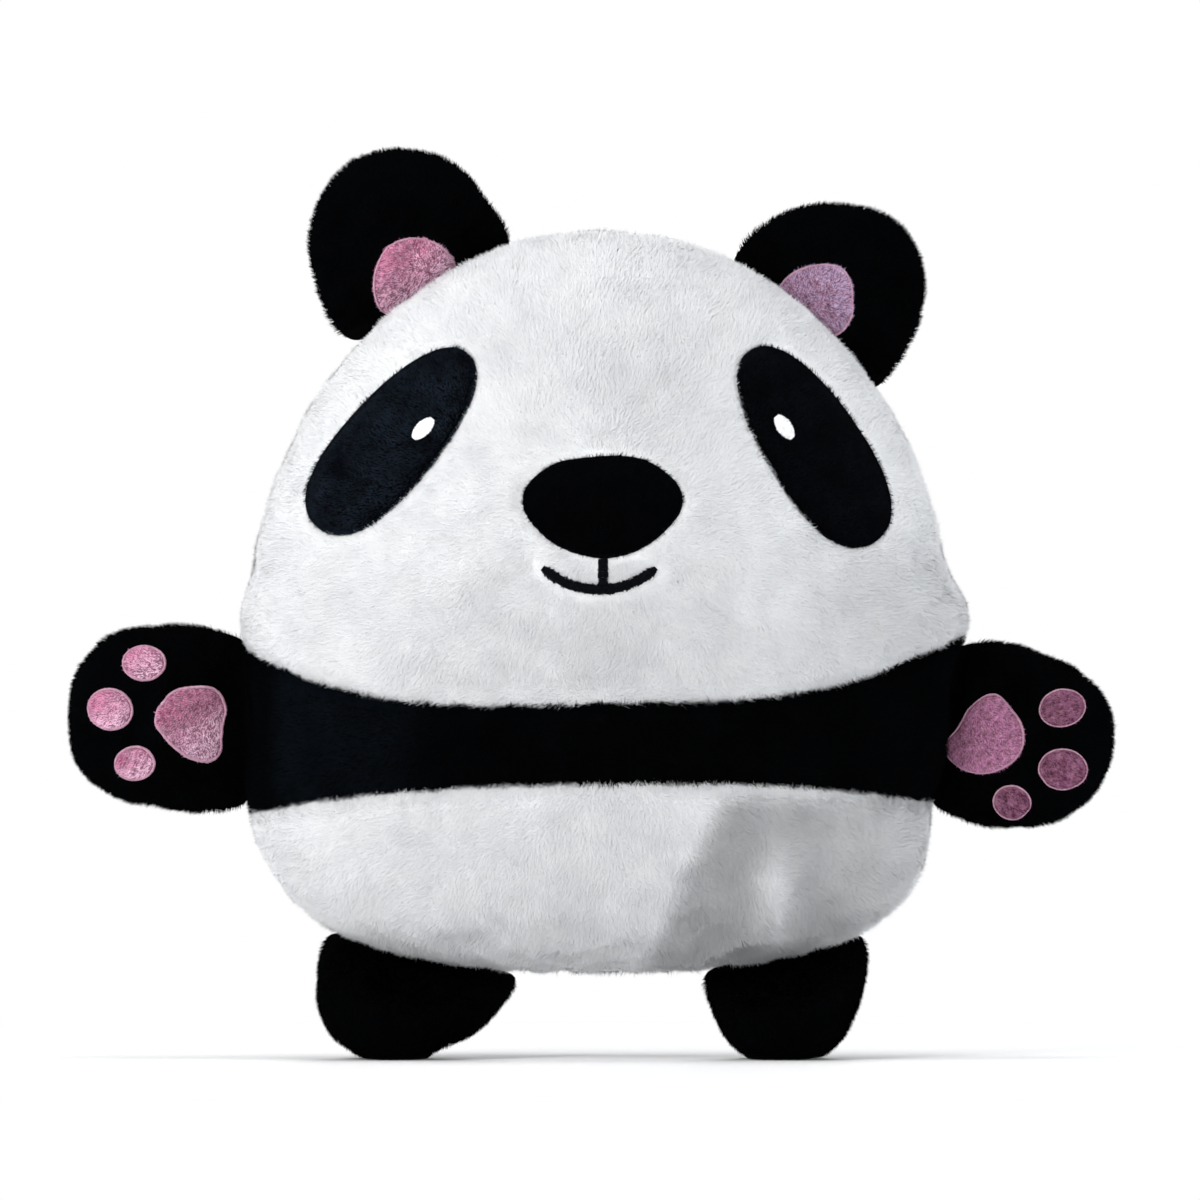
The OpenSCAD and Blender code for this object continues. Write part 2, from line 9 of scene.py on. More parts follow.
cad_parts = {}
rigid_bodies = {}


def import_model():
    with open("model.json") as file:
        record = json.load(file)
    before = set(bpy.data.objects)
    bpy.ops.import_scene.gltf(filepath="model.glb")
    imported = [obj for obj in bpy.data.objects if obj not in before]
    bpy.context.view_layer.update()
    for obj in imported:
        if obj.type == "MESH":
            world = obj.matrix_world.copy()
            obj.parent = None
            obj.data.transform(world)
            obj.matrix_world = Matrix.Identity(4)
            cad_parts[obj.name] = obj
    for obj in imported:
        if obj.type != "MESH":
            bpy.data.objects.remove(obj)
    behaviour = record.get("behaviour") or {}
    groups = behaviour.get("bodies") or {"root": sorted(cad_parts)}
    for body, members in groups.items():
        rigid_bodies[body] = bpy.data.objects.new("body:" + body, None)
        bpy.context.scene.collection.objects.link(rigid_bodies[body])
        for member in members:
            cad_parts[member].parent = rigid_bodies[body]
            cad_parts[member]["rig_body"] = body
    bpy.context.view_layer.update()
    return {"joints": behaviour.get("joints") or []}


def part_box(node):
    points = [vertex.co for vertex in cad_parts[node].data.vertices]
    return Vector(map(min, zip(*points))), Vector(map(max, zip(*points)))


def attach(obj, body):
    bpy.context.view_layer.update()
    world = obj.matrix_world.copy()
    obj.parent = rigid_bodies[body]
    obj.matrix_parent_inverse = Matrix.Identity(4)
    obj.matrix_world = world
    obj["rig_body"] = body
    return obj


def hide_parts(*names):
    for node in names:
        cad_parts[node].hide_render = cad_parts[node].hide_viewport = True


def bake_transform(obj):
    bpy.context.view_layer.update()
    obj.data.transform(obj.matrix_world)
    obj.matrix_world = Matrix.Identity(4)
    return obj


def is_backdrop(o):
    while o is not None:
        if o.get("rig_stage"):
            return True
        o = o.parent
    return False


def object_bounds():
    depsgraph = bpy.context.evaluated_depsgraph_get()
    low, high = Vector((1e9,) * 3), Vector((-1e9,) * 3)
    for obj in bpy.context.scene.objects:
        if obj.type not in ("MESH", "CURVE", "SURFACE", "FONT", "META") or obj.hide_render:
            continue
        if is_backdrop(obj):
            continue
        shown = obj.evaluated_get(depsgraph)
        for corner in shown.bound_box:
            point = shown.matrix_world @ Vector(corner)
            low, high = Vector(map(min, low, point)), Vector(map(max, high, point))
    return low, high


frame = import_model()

MM = 0.001
LEFT, RIGHT = 0, 1
FRONT, BACK = -1, 1


def add_node(tree, kind, inputs=(), **settings):
    """A shader node with its settings and its inputs, each of them a value or the socket that feeds it."""
    node = tree.nodes.new("ShaderNode" + kind)
    for name, value in settings.items():
        setattr(node, name, value)
    for key, value in dict(inputs).items():
        if isinstance(value, bpy.types.NodeSocket):
            tree.links.new(value, node.inputs[key])
        else:
            node.inputs[key].default_value = value
    return node


# ---------------------------------------------------------------- camera and light

IMAGE_MM = 528.0  # width of the view at the seam plane
LENS = 500.0
SENSOR = 36.0
AIM = Vector((0.0, 0.0, 0.2015))

camera_data = bpy.data.cameras.new("camera")
camera_data.lens = LENS
camera_data.sensor_width = SENSOR
camera_data.clip_start, camera_data.clip_end = 0.1, 60
camera = bpy.data.objects.new("camera", camera_data)
bpy.context.collection.objects.link(camera)
camera.location = AIM + Vector((0, -IMAGE_MM * MM * LENS / SENSOR, 0))
camera.rotation_euler = (math.radians(90), 0, 0)
bpy.context.scene.camera = camera
bpy.context.scene.view_settings.view_transform = "Standard"


def area_light(name, place, size, power, colour=(1, 1, 1)):
    data = bpy.data.lights.new(name, "AREA")
    data.shape = "DISK"
    data.size = size
    data.energy = power
    data.color = colour
    obj = bpy.data.objects.new(name, data)
    bpy.context.collection.objects.link(obj)
    obj.location = place
    obj.rotation_euler = (AIM - Vector(place)).to_track_quat("-Z", "Y").to_euler()


area_light("key", (-0.9, -1.45, 1.0), 0.8, 18, (1.0, 0.995, 0.99))
area_light("left", (-1.9, -0.7, 0.35), 0.8, 14)
area_light("front", (0.0, -2.2, 0.1), 0.9, 13)
area_light("right", (1.9, -0.7, 0.4), 0.8, 17.5, (0.95, 0.975, 1.0))
area_light("top", (0.0, -0.2, 1.9), 1.0, 15)
area_light("back", (0.3, 1.9, 1.0), 1.4, 24)

# the camera sees a white room, and the toy is lit by a dimmer one
world = bpy.data.worlds.new("world")
bpy.context.scene.world = world
world.use_nodes = True
nt = world.node_tree
seen = nt.nodes["Background"]
seen.inputs["Color"].default_value = (1, 1, 1, 1)
seen.inputs["Strength"].default_value = 1.0
lit = add_node(nt, "Background", {"Color": (0.96, 0.98, 1, 1), "Strength": 0.26})
ray = add_node(nt, "LightPath").outputs["Is Camera Ray"]
mix = add_node(nt, "MixShader", {0: ray, 1: lit.outputs[0], 2: seen.outputs[0]})
nt.links.new(mix.outputs[0], nt.nodes["World Output"].inputs[0])

# ---------------------------------------------------------------- materials

FULL = (1, 1, 1)


def grey(value):
    return (value,) * 3


def new_material(name, rough=0.9, sheen=0.0, sheen_tint=FULL, specular=0.3):
    mat = bpy.data.materials.new(name)
    mat.use_nodes = True
    nt = mat.node_tree
    shader = nt.nodes["Principled BSDF"]
    shader.inputs["Roughness"].default_value = rough
    shader.inputs["Specular IOR Level"].default_value = specular
    shader.inputs["Sheen Weight"].default_value = sheen
    shader.inputs["Sheen Roughness"].default_value = 0.45
    shader.inputs["Sheen Tint"].default_value = (*sheen_tint, 1)
    return mat, nt, shader


def noise_node(nt, scale, detail=2.0, rough=0.5):
    where = add_node(nt, "TexCoord").outputs["Object"]
    inputs = {"Vector": where, "Scale": scale, "Detail": detail, "Roughness": rough}
    return add_node(nt, "TexNoise", inputs).outputs["Fac"]


def layer_node(nt, name):
    return add_node(nt, "Attribute", attribute_name=name).outputs["Fac"]


def ramp(nt, fac, stops):
    node = add_node(nt, "ValToRGB", {"Fac": fac})
    elements = node.color_ramp.elements
    while len(elements) < len(stops):
        elements.new(0.5)
    for e, (place, colour) in zip(elements, stops):
        e.position = place
        e.color = (*colour, 1)
    return node.outputs["Color"]


def multiply(nt, a, b):
    return add_node(nt, "Mix", {0: 1, 6: a, 7: b}, data_type="RGBA", blend_type="MULTIPLY").outputs[2]


def bump(nt, shader, fac, height, strength):
    node = add_node(nt, "Bump", {"Distance": height, "Strength": strength, "Height": fac})
    nt.links.new(node.outputs["Normal"], shader.inputs["Normal"])


def plush(name, dark, light, sheen=0.3, patch=45, tones=True, low=0.72, specular=0.12, painted_shade=None):
    """Plush fabric, softly mottled by place. With tones it is pile, and each fibre is darker at its root, a
    painted shade of the pile around it; without, it is the cloth under the pile. With a tone for painted shade,
    the mesh's layer of painted light and shade darkens it, down to that tone."""
    mat, nt, shader = new_material(name, 0.95, sheen, FULL, specular)
    colour = ramp(nt, noise_node(nt, patch, 4, 0.6), [(0.3, dark), (0.7, light)])
    if tones:
        colour = multiply(nt, colour, ramp(nt, layer_node(nt, "tone"), [(0.0, grey(low)), (1.0, FULL)]))
    else:
        fine = noise_node(nt, 900, 3, 0.7)
        colour = multiply(nt, colour, ramp(nt, fine, [(0.2, grey(low)), (0.7, FULL)]))
        bump(nt, shader, fine, 0.0012, 0.9)
    if painted_shade is not None:
        colour = multiply(nt, colour, ramp(nt, layer_node(nt, "painted_shade"), [(0.0, grey(painted_shade)), (1.0, FULL)]))
    nt.links.new(colour, shader.inputs["Base Color"])
    return mat


def thread_material(name, dark, light, rough=0.5, sheen=0.2, specular=0.4):
    mat, nt, shader = new_material(name, rough, sheen, light, specular)
    nt.links.new(ramp(nt, noise_node(nt, 700), [(0.25, dark), (0.7, light)]), shader.inputs["Base Color"])
    bump(nt, shader, noise_node(nt, 5000), 0.0001, 0.6)
    return mat


def pad_fur(name, deep, pale):
    """Pink pile with dark flecks, painted deep where the layer of painted light and shade stands for shade, pale
    where it stands for light.
    """
    mat, nt, shader = new_material(name, 0.95, 0.15, (1, 0.9, 0.95), 0.12)
    spots = ramp(nt, noise_node(nt, 420, 4, 0.7), [(0.35, grey(0)), (0.65, FULL)])
    spots = add_node(nt, "Math", {0: spots, 1: 0.4}, operation="MULTIPLY").outputs[0]
    # painted light and shade from the mesh's layer, with the flecks added
    painted_lightness = add_node(nt, "Math", {0: layer_node(nt, "painted_shade"), 1: 0.6, 2: spots}, operation="MULTIPLY_ADD")
    colour = ramp(nt, painted_lightness.outputs[0], [(0.0, deep), (1.0, pale)])
    # dark flecks, and the roots of the fibres darker, a painted shade
    shade = ramp(nt, layer_node(nt, "tone"), [(0.0, grey(0.2)), (0.12, grey(0.82)), (0.8, FULL)])
    nt.links.new(multiply(nt, colour, shade), shader.inputs["Base Color"])
    return mat


# the white pile and its cloth carry painted shade, darkest where the layer of painted shade is 0
WHITE_FUR = plush("white_fur", (0.85, 0.865, 0.89), (0.93, 0.94, 0.95), 0.15, low=0.80, painted_shade=0.0)
WHITE_CLOTH = plush(
    "white_backing", (0.80, 0.81, 0.83), (0.90, 0.91, 0.92), 0.1, tones=False, low=0.9, painted_shade=0.0,
)
# the black pile is darkened to 0.22 except where painted light lifts it, at the left of the band's front
BLACK_FUR = plush(
    "black_fur", (0.0020, 0.0032, 0.0050), (0.0040, 0.0065, 0.0090), 0.0, low=0.5, specular=0.02, painted_shade=0.22,
)
# the eye patches' pile is darkened by painted shade, down to 0.12 of its colour
EYE_FUR = plush(
    "eye_patch_fur", (0.0020, 0.0035, 0.0065), (0.0140, 0.0210, 0.0320), 0.0, patch=60, low=0.5, specular=0.04,
    painted_shade=0.12,
)
BLACK_CLOTH = plush(
    "black_backing", (0.0006, 0.0006, 0.0009), (0.0015, 0.0015, 0.002), 0.0, tones=False, specular=0.02,
)
PINK_FUR = pad_fur("pink_fur", (0.64, 0.15, 0.32), (1.0, 0.72, 0.90))
# painted shade: darker copies of the pink pile, for the pads of the right arm and the right ear
PINK_FUR_PAINTED_SHADE = pad_fur("pink_fur_painted_shade", (0.12, 0.03, 0.07), (0.86, 0.38, 0.66))
PINK_FUR_PAINTED_COOL_SHADE = pad_fur("pink_fur_painted_cool_shade", (0.34, 0.20, 0.34), (0.76, 0.60, 0.86))
PINK_CLOTH = plush("pink_backing", (0.22, 0.08, 0.13), (0.42, 0.20, 0.29), 0.05, tones=False, patch=420)
BLACK_THREAD = thread_material("black_thread", (0.001, 0.001, 0.0016), (0.004, 0.0045, 0.007), 0.8, 0.0, 0.04)
WHITE_THREAD = thread_material("white_thread", (0.72, 0.72, 0.74), (0.92, 0.92, 0.93))
PINK_THREAD = thread_material("pale_pink_thread", (0.38, 0.18, 0.27), (0.56, 0.33, 0.43))
FIBRE = plush("stuffing_fibre", (0.6, 0.6, 0.57), (0.8, 0.8, 0.77), 0.2, tones=False)

# the floor glows white away from the toy, and lights the toy less than it shows
floor_material, nt, shader = new_material("floor", 0.8, 0, specular=0.05)
shader.inputs["Base Color"].default_value = (0.93, 0.93, 0.935, 1)
where = add_node(nt, "TexCoord").outputs["Object"]
away = add_node(nt, "VectorMath", {0: where}, operation="LENGTH").outputs["Value"]
fade_range = {"Value": away, "From Min": 0.18, "From Max": 0.62}
fade = add_node(nt, "MapRange", fade_range, interpolation_type="SMOOTHSTEP").outputs["Result"]
ray = add_node(nt, "LightPath").outputs["Is Camera Ray"]
bounce = add_node(nt, "MapRange", {"Value": ray, "To Min": 0.45}).outputs["Result"]
share = add_node(nt, "Math", {0: fade, 1: bounce}, operation="MULTIPLY").outputs["Value"]
glow = add_node(nt, "Emission").outputs[0]
mix = add_node(nt, "MixShader", {0: share, 1: shader.outputs[0], 2: glow})
nt.links.new(mix.outputs[0], nt.nodes["Material Output"].inputs[0])

# ---------------------------------------------------------------- small maths


def lobe(u, p, q):
    return np.clip(1 - np.clip(np.abs(u), 0, 1) ** p, 0, None) ** (1 / q)


def power(v, e):
    return np.sign(v) * np.abs(v) ** e


def unit(v):
    return v / np.maximum(np.linalg.norm(v, axis=-1, keepdims=True), 1e-9)


def smooth(t):
    t = np.clip(t, 0, 1)
    return t * t * (3 - 2 * t)


def hill(x, middle, width):
    return -(((x - middle) / width) ** 2)


LATTICE_SIZE = 32
LATTICE = np.random.default_rng(11).random((*[LATTICE_SIZE] * 3, 3)) * 2 - 1


def noise(p, size, channel=0):
    """Smooth value noise of points p in mm, with bumps about `size` mm apart, from -1 to 1."""
    q = p / size
    i = np.floor(q).astype(int)
    f = q - i
    f = f * f * (3 - 2 * f)
    total = 0
    for corner in np.ndindex(2, 2, 2):
        x, y, z = ((i[..., k] + far) % LATTICE_SIZE for k, far in enumerate(corner))
        wx, wy, wz = (f[..., k] if far else 1 - f[..., k] for k, far in enumerate(corner))
        total = total + wx * wy * wz * LATTICE[x, y, z, channel]
    return total


def curve_radius(radii, angle):
    """Radius at an angle in degrees, smooth through radii spaced evenly round the circle."""
    n = len(radii)
    radii = np.asarray(radii, float)
    u = (angle / 360 - np.floor(angle / 360)) * n
    i = np.floor(u).astype(int) % n
    t = u - np.floor(u)
    a, b, c, d = (radii[(i + k) % n] for k in (-1, 0, 1, 2))
    return b + 0.5 * t * (c - a + t * (2 * a - 5 * b + 4 * c - d + t * (3 * (b - c) + d - a)))


def bicubic(field, row, col):
    """Catmull-Rom reading of field[row, col], whose columns wrap round."""
    rows, cols = field.shape[:2]
    ri, ci = np.floor(row).astype(int), np.floor(col).astype(int)
    rt, ct = row - ri, col - ci

    def weights(t):
        return [
            -0.5 * t + t * t - 0.5 * t**3,
            1 - 2.5 * t * t + 1.5 * t**3,
            0.5 * t + 2 * t * t - 1.5 * t**3,
            -0.5 * t * t + 0.5 * t**3,
        ]

    wr, wc = weights(rt), weights(ct)
    out = 0
    for a in range(4):
        r = np.clip(ri + a - 1, 0, rows - 1)
        for b in range(4):
            out = out + (wr[a] * wc[b])[..., None] * field[r, (ci + b - 1) % cols]
    return out


# ---------------------------------------------------------------- meshes


def mesh_object(name, verts, faces, material=None):
    """A smooth mesh. verts are in mm, and faces is an (n, 3) or (n, 4) array."""
    me = bpy.data.meshes.new(name)
    faces = np.asarray(faces, np.int32)
    k = faces.shape[1]
    me.vertices.add(len(verts))
    me.vertices.foreach_set("co", (np.asarray(verts) * MM).astype(np.float32).ravel())
    me.loops.add(faces.size)
    me.loops.foreach_set("vertex_index", faces.ravel())
    me.polygons.add(len(faces))
    me.polygons.foreach_set("loop_start", np.arange(0, faces.size, k, dtype=np.int32))
    me.polygons.foreach_set("use_smooth", np.ones(len(faces), bool))
    me.update(calc_edges=True)
    me.validate()
    if material:
        me.materials.append(material)
    obj = bpy.data.objects.new(name, me)
    bpy.context.collection.objects.link(obj)
    return obj


def bake_layer(obj):
    """A flat map of the piece seen from the front, in a UV layer named OFBake."""
    me = obj.data
    co = np.empty(len(me.vertices) * 3, np.float32)
    me.vertices.foreach_get("co", co)
    co = co.reshape(-1, 3)[:, (0, 2)]
    lo, span = co.min(0), np.maximum(np.ptp(co, axis=0), 1e-6)
    idx = np.empty(len(me.loops), np.int32)
    me.loops.foreach_get("vertex_index", idx)
    uv = 0.02 + 0.96 * ((co - lo) / span)[idx]
    layer = me.uv_layers.new(name="OFBake")
    layer.data.foreach_set("uv", uv.astype(np.float32).ravel())


def point_layer(obj, name, values):
    layer = obj.data.attributes.new(name, "FLOAT", "POINT")
    layer.data.foreach_set("value", values.astype(np.float32).ravel())


def stand_for(obj, node, body=None):
    """obj is seen instead of the CAD node, which is hidden. It rides on body, if that is given."""
    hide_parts(node)
    if body:
        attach(obj, body)


def split(quads):
    """Two triangles for each four-sided face."""
    return np.concatenate([quads[:, [0, 1, 2]], quads[:, [0, 2, 3]]])


def grid_quads(rows, cols, wrap=False, start=0):
    r, c = np.meshgrid(np.arange(rows - 1), np.arange(cols if wrap else cols - 1), indexing="ij")
    a = start + r * cols + c
    b = start + r * cols + (c + 1) % cols
    return np.stack([a, b, b + cols, a + cols], -1).reshape(-1, 4)


def grid_normals(p, outward):
    """Normals of a grid of points, on the side that the rough direction outward is on."""
    n = unit(np.cross(np.gradient(p, axis=1), np.gradient(p, axis=0)))
    flip = np.sign((n * outward).sum(-1, keepdims=True))
    flip[flip == 0] = 1
    return n * flip


def sheet_object(name, p, n, thick, material, wrap=False):
    """A grid of points made into a closed sheet with an inner face `thick` below it."""
    rows, cols = p.shape[:2]
    count = rows * cols
    outer = grid_quads(rows, cols, wrap)
    a, b, c = (p.reshape(-1, 3)[outer[:, k]] for k in (0, 1, 2))
    side = (np.cross(b - a, c - a) * n.reshape(-1, 3)[outer[:, 0]]).sum()
    if side < 0:
        outer = outer[:, ::-1]
    inner = outer[:, ::-1] + count
    if wrap:
        edge = [
            np.stack([np.arange(cols), (np.arange(cols) + 1) % cols], 1),
            (rows - 1) * cols + np.stack([(np.arange(cols) + 1) % cols, np.arange(cols)], 1),
        ]
    else:
        loop = np.concatenate([
            np.arange(cols), np.arange(1, rows) * cols + cols - 1,
            (rows - 1) * cols + np.arange(cols - 2, -1, -1), np.arange(rows - 2, -1, -1) * cols,
        ])
        edge = [np.stack([loop[:-1], loop[1:]], 1)]
    edge = np.concatenate(edge)
    rim = np.concatenate([edge, edge[:, ::-1] + count], 1)
    if side > 0:
        rim = rim[:, ::-1]
    verts = np.concatenate([p.reshape(-1, 3), (p - n * thick).reshape(-1, 3)])
    obj = mesh_object(name, verts, np.concatenate([outer, inner, rim]), material)
    bake_layer(obj)
    return obj


def triangles_of(p, n, wrap=False):
    """Vertices, normals and triangles of a grid, for growing pile on."""
    q = grid_quads(*p.shape[:2], wrap)
    return p.reshape(-1, 3), n.reshape(-1, 3), np.concatenate([q[:, [0, 1, 2]], q[:, [0, 2, 3]]])


ROOM_GAP = 0.3  # mm between the pile and a patch or stitch


def grow_pile(
    name, surface, material, flow, *, seed, per_mm2, length, width, lean, clump=12.0, room=None, floor=None,
    turn=50.0, ruffle=1.0, twist=0.9, mottle=0.2, fleck=0.0, both=False, painted_shade=None,
):
    """Short pile, one slim blade to a tuft, on a surface. flow(p) is the direction that it is brushed in.
    room(p) is the distance to the nearest edge of a patch or stitch, where the pile stops and is shorter.
    Blades lean that many degrees, and clump is the size of the tufts that turn, ruffle and mottle vary with.
    fleck is the share of dark blades, and the painted-shade function gives each point's value in the layer of
    painted light and shade.
    With both, a blade is a thin wedge with two faces, so that pale pile has no dark underside."""
    v, n, f = surface
    rng = np.random.default_rng(seed)
    a, b, c = v[f[:, 0]], v[f[:, 1]], v[f[:, 2]]
    area = np.linalg.norm(np.cross(b - a, c - a), axis=1) / 2
    count = int(area.sum() * per_mm2)
    pick = np.searchsorted(np.cumsum(area), rng.random(count) * area.sum()).clip(0, len(f) - 1)
    r1, r2 = np.sqrt(rng.random(count)), rng.random(count)
    w = np.stack([1 - r1, r1 * (1 - r2), r1 * r2], 1)[..., None]
    p = (w * v[f[pick]]).sum(1)
    nn = unit((w * n[f[pick]]).sum(1))
    short = np.ones(count)
    if room is not None:
        near = room(p)
        k = near > ROOM_GAP
        p, nn, short = p[k], nn[k], np.clip(0.35 + near[k] / 5, 0, 1)
    count = len(p)
    t = flow(p)
    t = unit(t - (t * nn).sum(-1, keepdims=True) * nn)
    swirl = 0.8 * noise(p, clump, 0) + 0.5 * noise(p, clump * 0.4, 1) + 0.35 * rng.normal(size=count)
    swirl = np.radians(turn * swirl)
    t = t * np.cos(swirl)[:, None] + np.cross(nn, t) * np.sin(swirl)[:, None]
    tilt = np.radians(lean + ruffle * (14 * noise(p, clump * 0.7, 2) + 9 * rng.normal(size=count)))
    tilt = np.clip(tilt, 0.05, 1.3)
    d = nn * np.cos(tilt)[:, None] + t * np.sin(tilt)[:, None]
    across = unit(np.cross(d, nn) + 1e-6)
    twist = rng.uniform(-twist, twist, count)[:, None]
    across = across * np.cos(twist) + np.cross(d, across) * np.sin(twist)
    size = length * rng.uniform(0.7, 1.15, count) * (1 + 0.15 * noise(p, clump * 0.5, 1)) * short
    half = (0.5 * width * rng.uniform(0.7, 1.3, count))[:, None] * across
    root = p - nn * 0.3
    tip = root + d * size[:, None]
    face = unit(np.cross(half, d))
    flip = np.where((face * nn).sum(-1) < 0, -1.0, 1.0)[:, None]
    half, face = half * flip, face * flip
    corners = [root - half, root + half, tip]
    if both:
        corners += [root - half * 0.9 - face * 0.09, root + half * 0.9 - face * 0.09]
    verts = np.stack(corners, 1)
    k = len(corners)
    if floor is not None:
        verts[..., 2] = np.maximum(verts[..., 2], floor)
    base = np.arange(count)[:, None] * k
    faces = np.concatenate([base + [0, 1, 2], base + [4, 3, 2]]) if both else base + [0, 1, 2]
    obj = mesh_object(name, verts.reshape(-1, 3), faces, material)
    own = np.where(rng.random(count) < fleck, 0.0, rng.uniform(0.35, 1.0, count))[:, None]
    # each blade has a random tone of its own, and its root corners are darker, a painted shade of the pile around
    # them
    tone = own * np.array([0.3, 0.3, 1.0, 0.3, 0.3])[:k]
    point_layer(obj, "tone", tone)
    # the layer of painted light and shade in the blades' colour
    if painted_shade is not None:
        point_layer(obj, "painted_shade", np.repeat(painted_shade(p), k))
    waves = np.stack([noise(p, 9.0, c) + 0.6 * noise(p + 57, 2.6, c) for c in range(3)], 1)
    shade = unit(nn + mottle * waves + 0.35 * mottle * rng.normal(size=(count, 3)))
    obj.data.normals_split_custom_set_from_vertices(np.repeat(shade, k, axis=0).tolist())
    bake_layer(obj)
    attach(obj, "body")
    return obj


def trace(s, run, values):
    """Values at distances s along a path, whose points are at distances run."""
    return np.stack([np.interp(s, run, v) for v in values.T], 1)


THREAD_STEPS = 6


def satin(name, path, up, width, material, pitch=0.55, rise=0.9, slant=0.25, closed=False, rough=0.06):
    """Satin stitching: arched threads side by side across a path. width is one number or one per point."""
    path, up = np.asarray(path, float), unit(np.asarray(up, float))
    width = np.broadcast_to(np.asarray(width, float), (len(path),))
    if closed:
        path, up, width = (np.concatenate([x, x[:1]]) for x in (path, up, width))
    run = np.concatenate([[0], np.cumsum(np.linalg.norm(np.diff(path, axis=0), axis=1))])
    s = np.arange(pitch / 2, run[-1], pitch)
    at = trace(s, run, path)
    u = unit(trace(s, run, up))
    w = np.interp(s, run, width)
    along = unit(trace(np.minimum(s + 0.4, run[-1]), run, path) - trace(np.maximum(s - 0.4, 0), run, path))
    cross = unit(np.cross(along, u))
    rng = np.random.default_rng(len(s))
    t = np.linspace(-1, 1, THREAD_STEPS)
    arch = rise * (1 - np.abs(t) ** 2.6)
    jitter = 1 + rough * rng.normal(size=(len(s), 1))
    centre = (
        at[:, None]
        + cross[:, None] * (t[None] * w[:, None] / 2 * jitter)[..., None]
        + along[:, None] * (t[None] * w[:, None] / 2 * slant)[..., None]
        + u[:, None] * (arch[None] * (1 + 0.08 * rng.normal(size=(len(s), 1))))[..., None]
    )
    thick = pitch * 0.56
    rows = np.stack([
        centre - along[:, None] * thick - u[:, None] * 0.25,
        centre + u[:, None] * thick * 0.55,
        centre + along[:, None] * thick - u[:, None] * 0.25,
    ], 2)
    base = np.arange(len(s))[:, None, None] * THREAD_STEPS * 3
    i = np.arange(THREAD_STEPS - 1)[None, :, None] * 3
    j = np.arange(2)[None, None, :]
    a = base + i + j
    quads = np.stack([a, a + 1, a + 4, a + 3], -1).reshape(-1, 4)
    obj = mesh_object(name, rows.reshape(-1, 3), quads, material)
    bake_layer(obj)
    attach(obj, "body")
    return obj


# ---------------------------------------------------------------- cloth


def inflate(verts, tris, pinned, pressure, grow, cap, frames=20):
    """Puffs a closed mesh out as cloth with its seams held, and returns how each point moved, in mm."""
    start = verts + noise(verts, 9.0)[:, None] * 0.25 * unit(verts - verts.mean(0))
    obj = mesh_object("cloth_work", start, tris)
    group = obj.vertex_groups.new(name="pin")
    for level in np.unique(np.round(pinned, 2)):
        if level > 0:
            group.add([int(i) for i in np.flatnonzero(np.round(pinned, 2) == level)], float(level), "REPLACE")
    cloth = obj.modifiers.new("cloth", "CLOTH")
    s = cloth.settings
    s.quality = 6
    s.mass = 0.25
    s.tension_stiffness = s.compression_stiffness = 18
    s.shear_stiffness = 8
    s.bending_stiffness = 4
    s.air_damping = 3
    s.use_pressure = True
    s.uniform_pressure_force = pressure
    s.shrink_min = -grow
    s.vertex_group_mass = "pin"
    s.effector_weights.gravity = 0
    cloth.collision_settings.use_collision = False
    scene = bpy.context.scene
    for k in range(1, frames + 1):
        scene.frame_set(k)
    done = obj.evaluated_get(bpy.context.evaluated_depsgraph_get())
    co = np.empty(len(verts) * 3, np.float32)
    done.data.vertices.foreach_get("co", co)
    scene.frame_set(1)
    bpy.data.objects.remove(obj, do_unlink=True)
    move = co.reshape(-1, 3) / MM - verts
    size = np.linalg.norm(move, axis=1, keepdims=True)
    return move * np.minimum(1, cap / np.maximum(size, 1e-6))


# ---------------------------------------------------------------- the body's surface, in mm

NAP = 2.4  # how far the pile stands out from the cloth
CROWN_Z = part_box("head_front_panel")[1].z / MM + 0.7 - NAP
BELLY_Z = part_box("belly_front_panel")[0].z / MM - 0.6 + NAP
WAIST_Z = 190.0
HALF_W, HALF_D = 155.3 - NAP, 70.0
SLICE = 2.15
CHEEK, CHEEK_Z, CHEEK_SPREAD = (3.5, 8.0), 193.0, 16.0
HIP, HIP_Z, HIP_SPREAD = (3.0, -5.0), 110.0, 25.0
BAND_TOP, BAND_BOTTOM, BAND_RISE, BAND_DROP = 155.5, 121.0, 26.0, 11.0


def level(z):
    return np.where(z < WAIST_Z, (WAIST_Z - z) / (WAIST_Z - BELLY_Z), (z - WAIST_Z) / (CROWN_Z - WAIST_Z))


def half_width(z, c):
    u = level(z)
    w = HALF_W * np.where(z < WAIST_Z, lobe(u, 4.6, 2.9), lobe(u, 1.9, 2))
    s = smooth(0.5 + c)
    bulge = CHEEK[0] + (CHEEK[1] - CHEEK[0]) * s
    hip = HIP[0] + (HIP[1] - HIP[0]) * s
    inside = np.minimum(1, w / 60)
    return w + inside * (
        bulge * np.exp(hill(z, CHEEK_Z, CHEEK_SPREAD)) + hip * np.exp(hill(z, HIP_Z, HIP_SPREAD))
    )


def half_depth(z):
    u = level(z)
    return HALF_D * np.where(z < WAIST_Z, lobe(u, 3, 2.3), lobe(u, 2, 2))


# arc length up the outline, so that rows of points are evenly spaced over the crown and the belly
OUTLINE_Z = np.concatenate([
    BELLY_Z + (WAIST_Z - BELLY_Z) * np.linspace(0, 1, 4000) ** 3,
    WAIST_Z + (CROWN_Z - WAIST_Z) * (1 - np.linspace(1, 0, 4000)[1:] ** 2.5),
])
half = half_width(OUTLINE_Z, np.full_like(OUTLINE_Z, -1.0))
OUTLINE_RUN = np.concatenate([[0], np.cumsum(np.hypot(np.diff(OUTLINE_Z), np.diff(half)))])
ARC = OUTLINE_RUN[-1]


def z_of(arc):
    return np.interp(arc, OUTLINE_RUN, OUTLINE_Z)


def arc_of(z):
    return np.interp(z, OUTLINE_Z, OUTLINE_RUN)


